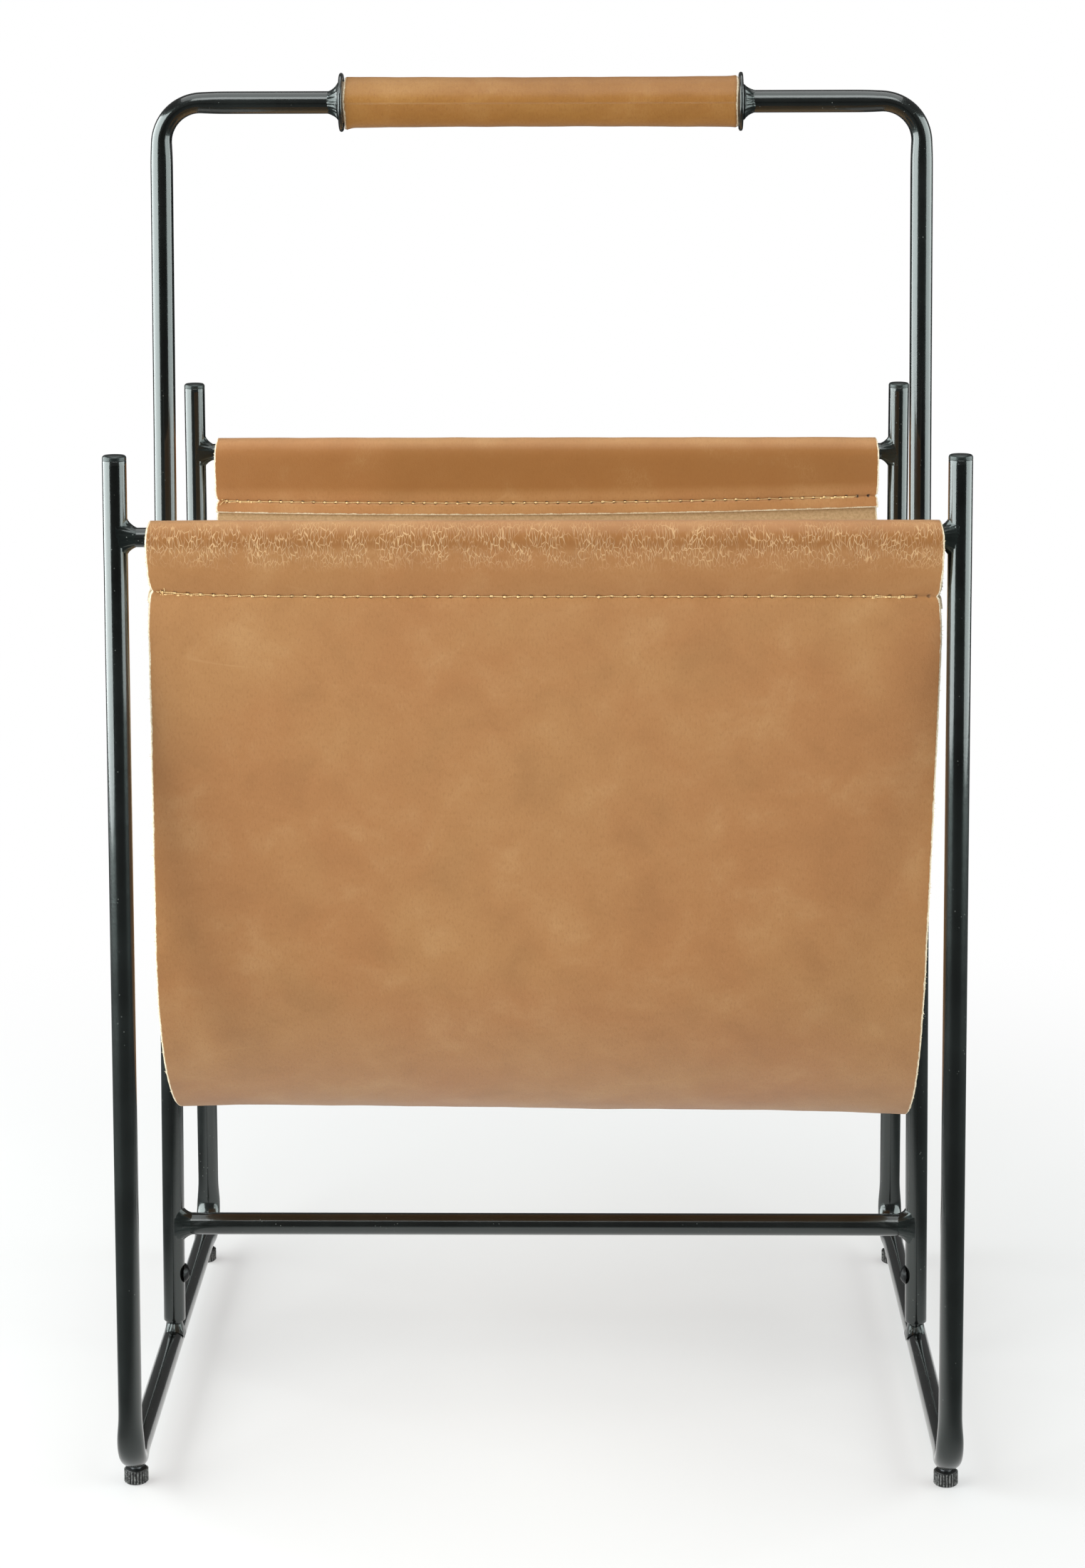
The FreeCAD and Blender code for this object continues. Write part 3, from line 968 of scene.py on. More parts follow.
@dataclass
class TubeFrame:
    """The welded frame: two side frames, the sling's rods, the handle, its cross bar and spigots."""

    finishes: Finishes
    tube: float = 5 * MM
    rod: float = 4 * MM
    spigot: float = 3.7 * MM
    spigot_top: float = 58 * MM
    leg_lean: float = 6.2 * MM
    cap: float = 2.2 * MM
    handle_top_half: float = 169.2 * MM
    handle_bend: float = 18 * MM
    rail_z: float = 12 * MM
    half_depth: float = 150 * MM

    def __post_init__(self) -> None:
        """Reads the places that the other sizes hang on."""
        self.leg_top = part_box("leg_end_plugs")[1].z
        self.half_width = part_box("right_side_frame")[1].x - self.tube
        rod_low, rod_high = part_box("front_sling_rod")
        self.rod_z = (rod_low.z + rod_high.z) / 2
        handle_low, handle_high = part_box("handle_frame")
        self.handle_z = handle_high.z - self.tube
        self.handle_foot = handle_low.z
        self.handle_foot_half = handle_high.x - self.tube
        bar_low, bar_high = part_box("lower_cross_bar")
        self.bar_z = (bar_low.z + bar_high.z) / 2

    def leg_y(self, height: float) -> float:
        """Distance of a leg's axis from the middle of the rack at a height."""
        return self.half_depth - self.leg_lean * (height - self.rail_z) / (self.leg_top - self.rail_z)

    def handle_x(self, height: float) -> float:
        """Distance of a handle vertical's axis from the middle at a height."""
        share = (height - self.handle_foot) / (self.handle_z - self.handle_foot)
        return self.handle_foot_half + (self.handle_top_half - self.handle_foot_half) * share

    def side_frames(self) -> None:
        """The two bent side frames."""
        top = self.leg_top - self.cap
        for side, sign in SIDES.items():
            x = sign * self.half_width
            corners = [
                Vector((x, -self.leg_y(top), top)),
                Vector((x, -self.half_depth, self.rail_z)),
                Vector((x, self.half_depth, self.rail_z)),
                Vector((x, self.leg_y(top), top)),
            ]
            tube = BentTube(corners, Vector((1, 0, 0)), self.tube)
            piece = tube.build(f"{side}_side_frame_tube", self.finishes.coat)
            place(piece, RACK, Slot.COAT, f"{side}_side_frame")

    def handle(self) -> None:
        """The handle's bent tube."""
        corners = [
            Vector((-self.handle_foot_half, 0, self.handle_foot)),
            Vector((-self.handle_top_half, 0, self.handle_z)),
            Vector((self.handle_top_half, 0, self.handle_z)),
            Vector((self.handle_foot_half, 0, self.handle_foot)),
        ]
        tube = BentTube(corners, Vector((0, 1, 0)), self.tube, self.handle_bend, widened=0.1, thinned=0.1)
        place(tube.build("handle_tube", self.finishes.coat), RACK, Slot.COAT, "handle_frame")

    def bar(self, name: str, start: Vector, end: Vector, radius: float) -> bpy.types.Object:
        """A straight round bar with closed ends.

        Args:
            name: Name of the piece.
            start: Middle of one end.
            end: Middle of the other.
            radius: The bar's radius.

        Returns:
            The piece.
        """
        length = (end - start).length
        edge = 0.3 * MM
        profile = [(0, 0), (0, radius - edge), (edge, radius)]
        profile += [(length * share / 8, radius) for share in range(1, 8)]
        profile += [(length - edge, radius), (length, radius - edge), (length, 0)]
        rings, faces = turned(profile, start, end - start, 48)
        return new_piece(name, rings.reshape(-1, 3), faces, self.finishes.coat)

    def bars(self) -> None:
        """The sling's two rods, the lower cross bar and the spigots."""
        for end, sign in ENDS.items():
            y = sign * self.leg_y(self.rod_z)
            reach = self.half_width - self.tube * 0.9
            left, right = Vector((-reach, y, self.rod_z)), Vector((reach, y, self.rod_z))
            piece = self.bar(f"{end}_rod", left, right, self.rod)
            place(piece, RACK, Slot.COAT, f"{end}_sling_rod")
        reach = self.handle_x(self.bar_z) - self.tube * 0.9
        left, right = Vector((-reach, 0, self.bar_z)), Vector((reach, 0, self.bar_z))
        piece = self.bar("cross_bar", left, right, self.tube)
        place(piece, RACK, Slot.COAT, "lower_cross_bar")
        for side, sign in SIDES.items():
            x_low = sign * self.handle_x(self.rail_z)
            x_high = sign * self.handle_x(self.spigot_top)
            start = Vector((x_low, 0, self.rail_z + self.tube * 0.75))
            piece = self.bar(f"{side}_spigot", start, Vector((x_high, 0, self.spigot_top)), self.spigot)
            place(piece, RACK, Slot.COAT, f"{side}_handle_spigot")

    def welds(self) -> None:
        """Every weld bead of the frame."""
        weld = self.finishes.weld
        rods, bars, spigots = [], [], []
        for number, (side, sign) in enumerate(SIDES.items()):
            inward = Vector((-sign, 0, 0))
            for end, face in ENDS.items():
                centre = Vector((sign * self.half_width, face * self.leg_y(self.rod_z), self.rod_z))
                bead = Bead(
                    centre, inward, Vector((0, 0, 1)), self.rod, self.tube, 8.6 * MM, 7.4 * MM,
                    seed=11 + 5 * number + face,
                )
                rods.append(bead.build(f"{end}_{side}_bead", weld))
            centre = Vector((sign * self.handle_x(self.bar_z), 0, self.bar_z))
            bead = Bead(
                centre, inward, Vector((0, 0, 1)), self.tube, self.tube, 8.6 * MM, 7.9 * MM, seed=31 + number
            )
            bars.append(bead.build(f"{side}_bar_bead", weld))
            centre = Vector((sign * self.handle_x(self.rail_z), 0, self.rail_z))
            bead = Bead(
                centre, Vector((0, 0, 1)), Vector((0, 1, 0)), self.spigot, self.tube, 7.6 * MM, 6.6 * MM,
                hollow=0.2, seed=41 + number,
            )
            spigots.append(bead.build(f"{side}_spigot_bead", weld))
        place(join("rod_welds", rods), RACK, Slot.COAT, "rod_weld_beads")
        place(join("cross_bar_welds", bars), RACK, Slot.COAT, "cross_bar_weld_beads")
        place(join("spigot_welds", spigots), RACK, Slot.COAT, "spigot_weld_beads")

    def build(self) -> None:
        """Builds the whole frame."""
        self.side_frames()
        self.handle()
        self.bars()
        self.welds()


# ---- grip -----------------------------------------------------------------
@dataclass
class Grip:
    """The handle's leather grip between two dished flanges."""

    finishes: Finishes
    tube: float = 5 * MM
    half: float = 87.8 * MM
    gap: float = 0.5 * MM
    radius: float = 11.3 * MM
    leather: float = 2.1 * MM
    flange: float = 13.1 * MM
    flange_thick: float = 2.0 * MM
    dish: float = 1.1 * MM
    waist: float = 0.35 * MM
    flare: float = 0.9 * MM
    around: int = 96

    def height(self) -> float:
        """Height of the handle's top bar."""
        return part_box("handle_frame")[1].z - self.tube

    def wrap(self) -> None:
        """The leather wrap: a rolled sheet, butted along its back, a little ragged at its ends."""
        z = self.height()
        reach = self.half - self.gap
        angle = np.linspace(0, TAU, self.around, endpoint=False)
        low_front = np.clip(-np.sin(angle) * 0.8 - np.cos(angle) * 0.6, 0, 1)
        seam = np.exp(-(((angle - math.pi) / 0.07) ** 2))
        share = np.linspace(-1, 1, 181)
        outer, inner = [], []
        bore = self.radius - self.leather
        for s in share:
            x = s * (reach + 0.3 * MM * np.sin(angle * 3 + s * 5) * abs(s) ** 30)
            end_left = np.exp(-(((s + 1) * reach / (2.6 * MM)) ** 2))
            end_right = np.exp(-(((1 - s) * reach / (2.2 * MM)) ** 2))
            bulge = self.flare * (1.4 * end_left * low_front + 0.35 * end_right)
            body = self.radius - self.waist * (1 - s * s)
            ruck = 0.12 * MM * swell(np.full_like(angle, s * reach), angle * self.radius, 30 * MM, 5)
            from_left, from_right = (s + 1) * reach, (1 - s) * reach
            rim = 0.5 * MM
            rounding = rim * (np.exp(-((from_left / rim) ** 2)) + np.exp(-((from_right / rim) ** 2)))
            along = np.broadcast_to(x, angle.shape)
            size = body + bulge + ruck - 0.55 * MM * seam - rounding
            for rows, radius in ((outer, size), (inner, np.full_like(angle, bore))):
                rows.append(np.stack([along, -np.cos(angle) * radius, z + np.sin(angle) * radius], 1))
        rings = np.array(outer + inner[::-1])
        count = len(share)
        lengths = np.concatenate([share * reach, share[::-1] * reach])
        around = np.broadcast_to(angle * self.radius, (2 * count, self.around))
        hide = np.concatenate([np.ones(count), -np.ones(count)])
        hide[[0, count - 1]] = 0.1
        hide[[1, count - 2]] = 0.75
        hide[[count, 2 * count - 1]] = -0.1
        unroll = np.stack([np.repeat(lengths, self.around), around.ravel()], 1)
        piece = new_piece(
            "grip_leather",
            rings.reshape(-1, 3),
            ring_skin(rings, closed=True),
            PullUpLeather(
                "grip leather", rosy="8f5f26", golden="95672d", dark="754816", light="b08650", roughness=0.42
            ).make(),
            60,
            {HIDE_LAYER: np.repeat(hide, self.around)},
            unroll,
        )
        place(piece, RACK, Slot.GRIP, "grip_leather_wrap")

    def flanges(self) -> None:
        """The flanges that close the grip, and the welds behind them."""
        z = self.height()
        beads = []
        for number, (side, sign) in enumerate(SIDES.items()):
            rim, thick, bore = self.flange, self.flange_thick, self.tube - 0.1 * MM
            start = Vector((sign * self.half, 0, z))
            profile = [(0.0, bore), (0.0, rim - 2.2 * MM), (0.1 * MM, rim - 0.8 * MM)]
            for turn in np.linspace(-80, 80, 9):
                bulge = thick / 2 * 0.86
                out = thick / 2 + bulge * math.sin(math.radians(turn))
                profile.append((out, rim - bulge + bulge * math.cos(math.radians(turn))))
            for share in np.linspace(0.15, 1, 10):
                radius = rim - 0.8 * MM - (rim - 0.8 * MM - bore) * share
                out = thick * 0.93 + self.dish * (1 - (radius / rim) ** 2) * share
                profile.append((out, radius))
            rings, _ = turned(profile, start, Vector((sign, 0, 0)), 96)
            skin = ring_skin(rings, closed=True)
            piece = new_piece(f"{side}_flange_disc", rings.reshape(-1, 3), skin, self.finishes.coat, 50)
            place(piece, RACK, Slot.COAT, f"{side}_grip_flange")
            bead = Bead(
                Vector((sign * self.half, 0, z)), Vector((sign, 0, 0)), Vector((0, 0, 1)), self.tube,
                thick + self.dish * 0.55, 7.0 * MM, 8.3 * MM, hollow=0.5, flat_base=True, seed=61 + number,
            )
            beads.append(bead.build(f"{side}_flange_bead", self.finishes.weld))
        place(join("flange_welds", beads), RACK, Slot.COAT, "flange_weld_beads")

    def build(self) -> None:
        """Builds the grip."""
        self.wrap()
        self.flanges()


# ---- sling ----------------------------------------------------------------
@dataclass
class Sling:
    """One strip of leather: hemmed round the front rod, down round the pocket, up to the back rod."""

    rod_y: float
    rod_z: float
    thick: float = 3.0 * MM
    half: float = 163.8 * MM
    arc: float = 120 * MM
    arc_z: float = 250 * MM
    rod: float = 4.15 * MM
    drop: float = 24 * MM
    flap: float = 6 * MM
    step: float = 2.6 * MM
    pinch: float = 2.2 * MM
    sideways: float = 3.0 * MM
    tilt: float = 1.6 * MM
    groove: float = 0.95 * MM
    pitch: float = 5.5 * MM
    seam_margin: float = 4.5 * MM
    spare: float = 6 * MM

    def __post_init__(self) -> None:
        """Works out the strip's line, its length and where its seams fall."""
        self.line = self.middle_line()
        legs = np.linalg.norm(np.diff(self.line, axis=0), axis=1)
        self.run = np.concatenate([[0.0], np.cumsum(legs)]) - self.spare
        self.length = float(self.run[-1]) - self.spare
        front = slice(0, len(self.run) // 2)
        self.crest = float(self.run[front][self.line[front, 1].argmax()])
        below = np.abs(self.line[front, 1] - (self.rod_z - self.drop)) + (self.run[front] < self.crest)
        self.flap_seam = self.flap
        self.face_seam = float(self.run[front][below.argmin()])

    def hem_line(self) -> list[tuple[float, float]]:
        """The front hem's middle line.

        Returns:
            Places from the flap's end to the seam in the face, as (out, up) from the rod.
        """
        middle = self.rod + self.thick / 2
        low = -self.drop
        inner = (-self.thick / 2, low)
        reach = math.hypot(*inner)
        lean = math.atan2(inner[1], inner[0])
        swing = math.acos(middle / reach)
        start = lean - swing
        points = [(-self.thick / 2, low - self.flap - self.spare), (-self.thick / 2, low)]
        start_angle = start % TAU
        end_angle = (math.pi - start_angle) % TAU
        if end_angle > start_angle:
            end_angle -= TAU
        for share in np.linspace(0, 1, 29):
            angle = start_angle + (end_angle - start_angle) * share
            points.append((middle * math.cos(angle), middle * math.sin(angle)))
        points.append((self.thick / 2, low))
        return points

    def middle_line(self) -> np.ndarray:
        """The whole strip's middle line.

        Returns:
            Places as (y, z), in small equal steps.
        """
        front = [(-(self.rod_y + out), self.rod_z + up) for out, up in self.hem_line()]
        seam = front[-1]
        reach = math.hypot(seam[0], seam[1] - self.arc_z)
        lean = math.atan2(seam[1] - self.arc_z, seam[0])
        touch = lean + math.acos(self.arc / reach)
        bottom = 1.5 * math.pi
        for angle in np.linspace(touch % TAU, bottom, 60):
            front.append((self.arc * math.cos(angle), self.arc_z + self.arc * math.sin(angle)))
        back = [(-y, z) for y, z in reversed(front[:-1])]
        rough = np.array(front + back)
        run = np.concatenate([[0.0], np.cumsum(np.linalg.norm(np.diff(rough, axis=0), axis=1))])
        fine = np.linspace(0, run[-1], int(run[-1] / (0.5 * MM)))
        line = np.stack([np.interp(fine, run, rough[:, 0]), np.interp(fine, run, rough[:, 1])], 1)
        for _ in range(8):
            line[1:-1] = line[1:-1] * 0.5 + (line[2:] + line[:-2]) * 0.25
        return line

    def seams(self) -> list[float]:
        """Distances along the strip to its four rows of stitches: flap and face, front and back."""
        return [self.flap_seam, self.face_seam, self.length - self.face_seam, self.length - self.flap_seam]

    def wander(self, x: np.ndarray, run: np.ndarray) -> np.ndarray:
        """How far the seams were sewn off their line, as a shift along the strip.

        Args:
            x: Distance across the strip from its middle.
            run: Distance along the strip.

        Returns:
            The shift at each place.
        """
        share = x / self.half
        from_end = np.minimum(run, self.length - run)
        at_front = run < self.length / 2
        front = -2.6 * MM * np.exp(-(1 + share) / 0.13)
        back = 1.2 * MM - 2.4 * MM * (share + 0.25) ** 2
        lower = np.where(at_front, front, back)
        on_flap = 1 - ease(from_end, self.flap_seam + 2 * MM, self.crest - 6 * MM)
        near_face = ease(from_end, self.crest + 4 * MM, self.face_seam)
        near_face = near_face * (1 - ease(from_end, self.face_seam, self.face_seam + 26 * MM))
        shift = lower * (near_face - on_flap)
        return np.where(at_front, shift, -shift)

    def spot(self, x: np.ndarray, run: np.ndarray, lift: np.ndarray) -> np.ndarray:
        """Places on the hung leather.

        Args:
            x: Distance across the strip from its middle.
            run: Distance along the strip.
            lift: Distance out from the leather's middle: half a thickness is the grain side.

        Returns:
            The places, one row each.
        """
        step = 0.8 * MM
        moved = run + self.wander(x, run)
        here = np.stack([np.interp(moved, self.run, self.line[:, k]) for k in (0, 1)], 1)
        low = np.stack([np.interp(moved - step, self.run, self.line[:, k]) for k in (0, 1)], 1)
        high = np.stack([np.interp(moved + step, self.run, self.line[:, k]) for k in (0, 1)], 1)
        tangent = high - low
        tangent /= np.linalg.norm(tangent, axis=1)[:, None]
        normal = np.stack([tangent[:, 1], -tangent[:, 0]], 1)
        from_end = np.minimum(run, self.length - run)
        pocket = ease(from_end, self.face_seam + 10 * MM, self.face_seam + 120 * MM)
        share = x / self.half
        near_seam = np.zeros_like(run)
        for seam in (self.flap_seam, self.face_seam):
            gap = np.abs(from_end - seam)
            tight, loose = np.exp(-((gap / (0.9 * MM)) ** 2)), np.exp(-((gap / (3.2 * MM)) ** 2))
            near_seam = np.maximum(near_seam, 0.6 * tight + 0.4 * loose)
        drawn = np.exp(-(((from_end - self.face_seam) / (10 * MM)) ** 2)) * 0.45
        hem = ease(self.face_seam + 6 * MM - from_end, 0, 6 * MM)
        crest = np.exp(-(((from_end - self.crest) / (6 * MM)) ** 2))
        edge = np.abs(share) ** 18
        shrink = self.pinch * (0.55 * near_seam + drawn + 0.25) + 1.2 * MM * crest * edge
        wave = 0.30 * MM * swell(x, run, 140 * MM, 3) * pocket + 0.12 * MM * swell(x, run, 37 * MM, 4)
        ragged = 0.18 * MM * swell(run, run * 0, 9 * MM, 8) * edge
        flare = 1.3 * MM * np.abs(share) ** 7 * pocket
        stitch_dent = 0.5 + 0.5 * np.cos(TAU * (x + self.half - self.seam_margin) / self.pitch)
        dent = self.groove * near_seam * (0.55 + 0.45 * stitch_dent) * (np.abs(x) < self.half - 2 * MM)
        squeeze = 1 - 0.10 * near_seam - 0.12 * edge
        puff = 0.35 * MM * hem * np.exp(-(((from_end - self.face_seam + 9 * MM) / (5 * MM)) ** 2))
        out = lift * squeeze + wave + flare + puff - dent * (lift > 0)
        place_yz = here + normal * out[:, None]
        across = x - np.sign(x) * (shrink * np.abs(share) ** 3) + ragged
        places = np.stack([across, place_yz[:, 0], place_yz[:, 1]], 1)
        sag = ease(self.rod_z - places[:, 2], 20 * MM, 240 * MM)
        places[:, 0] += self.sideways * (run < self.length / 2) * (1 - sag)
        places[:, 2] -= sag * (self.tilt * share)
        return places

    def skin(self, material: bpy.types.Material) -> bpy.types.Object:
        """The leather itself: grain side, flesh side, raw edges and raw ends.

        Args:
            material: Its finish.

        Returns:
            The piece.
        """
        side = self.half
        t = self.thick / 2
        inner_columns = np.linspace(-side + 3 * MM, side - 3 * MM, int(2 * side / self.step))
        left_edge = [-side + 0.35 * MM, -side + 1.1 * MM]
        right_edge = [side - 1.1 * MM, side - 0.35 * MM]
        columns = np.concatenate([left_edge, inner_columns, right_edge])
        edge_x = np.array([side, side + 0.08 * MM, side])
        edge_lift = np.array([t - 0.4 * MM, 0.0, -t + 0.4 * MM])
        ring_x = np.concatenate([columns, edge_x, columns[::-1], -edge_x])
        face = np.full(len(columns), t)
        ring_lift = np.concatenate([face, edge_lift, -face, -edge_lift])
        grain = np.ones(len(columns))
        grain[[0, -1]] = 0.3
        ring_hide = np.concatenate([grain, [0.1, 0.0, -0.1], -grain, [-0.1, 0.0, 0.1]])
        runs = [0.0, 0.3 * MM, 1.2 * MM]
        runs += list(np.linspace(2.4 * MM, self.length - 2.4 * MM, int(self.length / self.step)))
        for seam in self.seams():
            runs += list(np.arange(seam - 3.2 * MM, seam + 3.3 * MM, 0.4 * MM))
        runs += [self.length - 1.2 * MM, self.length - 0.3 * MM, self.length]
        runs = np.array(sorted(set(np.round(runs, 6))))
        runs = runs[np.concatenate([[True], np.diff(runs) > 0.2 * MM])]
        around = len(ring_x)
        all_run = np.repeat(runs, around)
        all_x = np.tile(ring_x, len(runs))
        all_lift = np.tile(ring_lift, len(runs))
        hide = np.tile(ring_hide, len(runs))
        at_end = np.minimum(all_run, self.length - all_run) < 0.2 * MM
        all_lift = np.where(at_end, all_lift * 0.72, all_lift)
        near_end = np.minimum(all_run, self.length - all_run) < 0.5 * MM
        hide = np.where(at_end, hide * 0.1, np.where(near_end, hide * 0.45, hide))
        points = self.spot(all_x, all_run, all_lift)
        rings = points.reshape(len(runs), around, 3)
        faces = ring_skin(rings)[:-2]
        count = len(columns)
        loop = list(range(around))
        for base in (0, (len(runs) - 1) * around):
            for k in range(count - 1):
                top, low = k, 2 * count + 2 - k
                faces.append((base + loop[top], base + loop[top + 1], base + loop[low - 1], base + loop[low]))
            last = base + around
            faces.append(tuple(base + count + k for k in range(-1, 4)))
            faces.append((base, last - 1, last - 2, last - 3, last - 4))
        unroll = np.stack([all_x, all_run], 1)
        return new_piece("sling_leather_skin", points, faces, material, 75, {HIDE_LAYER: hide}, unroll)

    def leather(self) -> PullUpLeather:
        """The sling's finish.

        Returns:
            The finish, with creases, pale stretched crests with a painted highlight, saddle-brown bands, and
            seam lines and needle holes with painted shade where this strip has them.
        """
        seam_half = self.half - self.seam_margin
        # How dark the painted shade of each seam's line and holes is.
        shades = (0.9, 0.5, 0.5, 0.95)
        seams = tuple(SeamLine(at, seam_half, self.pitch, dark) for at, dark in zip(self.seams(), shades))
        top, end = self.crest, self.length
        return PullUpLeather(
            "sling leather",
            seams,
            creased=(
                Band(top + 4 * MM, top + 19 * MM),
                Band(end - top - 21 * MM, end - top - 2 * MM, 0.8),
            ),
            # Painted highlight over each rod's crest, with the stretched leather paled there.
            stretch_and_highlight=(
                Band(top - 7 * MM, top + 4 * MM, 0.08),
                Band(end - top - 6 * MM, end - top + 4 * MM, 0.2),
            ),
            saddle=(
                Band(top + 5 * MM, top + 13 * MM, 0.8),
                Band(top + 13 * MM, self.face_seam, 0.25),
                Band(end - top + 5 * MM, end - self.flap_seam - 6 * MM, 0.72),
            ),
        )

    def build(self, stitches: "Stitching", fray: "FrayedEdges") -> bpy.types.Object:
        """Hangs the sling and sews it.

        Args:
            stitches: What makes its rows of thread.
            fray: What makes the fibres of its raw edges.

        Returns:
            The leather.
        """
        skin = self.skin(self.leather().make())
        place(skin, RACK, Slot.SLING, "leather_sling")
        sewn = stitches.build(self) + fray.build(self)
        return skin


# ---- repeated detail, by geometry nodes -----------------------------------
@dataclass
class NodeTool:
    """A geometry-nodes tree with named inputs, applied once and turned into plain mesh."""

    name: str
    inputs: dict[str, tuple[str, float]]

    def start(self) -> tuple[bpy.types.NodeTree, Bench, bpy.types.NodeSocket, bpy.types.Node]:
        """Starts an empty tree.

        Returns:
            The tree, its bench, its incoming geometry, and the node that holds its named inputs.
        """
        tree = bpy.data.node_groups.new(self.name, "GeometryNodeTree")
        bench = Bench(tree)
        tree.interface.new_socket("Geometry", in_out="OUTPUT", socket_type="NodeSocketGeometry")
        tree.interface.new_socket("Geometry", in_out="INPUT", socket_type="NodeSocketGeometry")
        for label, (kind, value) in self.inputs.items():
            socket = tree.interface.new_socket(label, in_out="INPUT", socket_type=kind)
            socket.default_value = value
        source = tree.nodes.new("NodeGroupInput")
        return tree, bench, source.outputs["Geometry"], source

    def finish(self, bench: Bench, geometry: Feed, material: bpy.types.Material) -> None:
        """Ends the tree in Realize Instances and Set Material."""
        real = bench.add("GeometryNodeRealizeInstances", {"Geometry": geometry})
        dressed = bench.add("GeometryNodeSetMaterial", {"Geometry": real, "Material": material})
        bench.add("NodeGroupOutput", {"Geometry": dressed})

    def apply(
        self, tree: bpy.types.NodeTree, mesh: bpy.types.Mesh, name: str, values: dict
    ) -> bpy.types.Object:
        """Runs the tree on a mesh.

        Args:
            tree: The finished tree.
            mesh: What it starts from.
            name: Name of the new object.
            values: Named inputs for this run.

        Returns:
            A plain mesh object, with no modifier.
        """
        carrier = bpy.data.objects.new(name + "_guide", mesh)
        bpy.context.scene.collection.objects.link(carrier)
        modifier = carrier.modifiers.new(self.name, "NODES")
        modifier.node_group = tree
        ids = {s.name: s.identifier for s in tree.interface.items_tree if s.in_out == "INPUT"}
        for label, value in values.items():
            modifier[ids[label]] = value
        ready = carrier.evaluated_get(bpy.context.evaluated_depsgraph_get())
        plain = bpy.data.meshes.new_from_object(ready)
        plain.name = name
        carrier.modifiers.clear()
        bpy.data.objects.remove(carrier)
        made = bpy.data.objects.new(name, plain)
        bpy.context.scene.collection.objects.link(made)
        return made


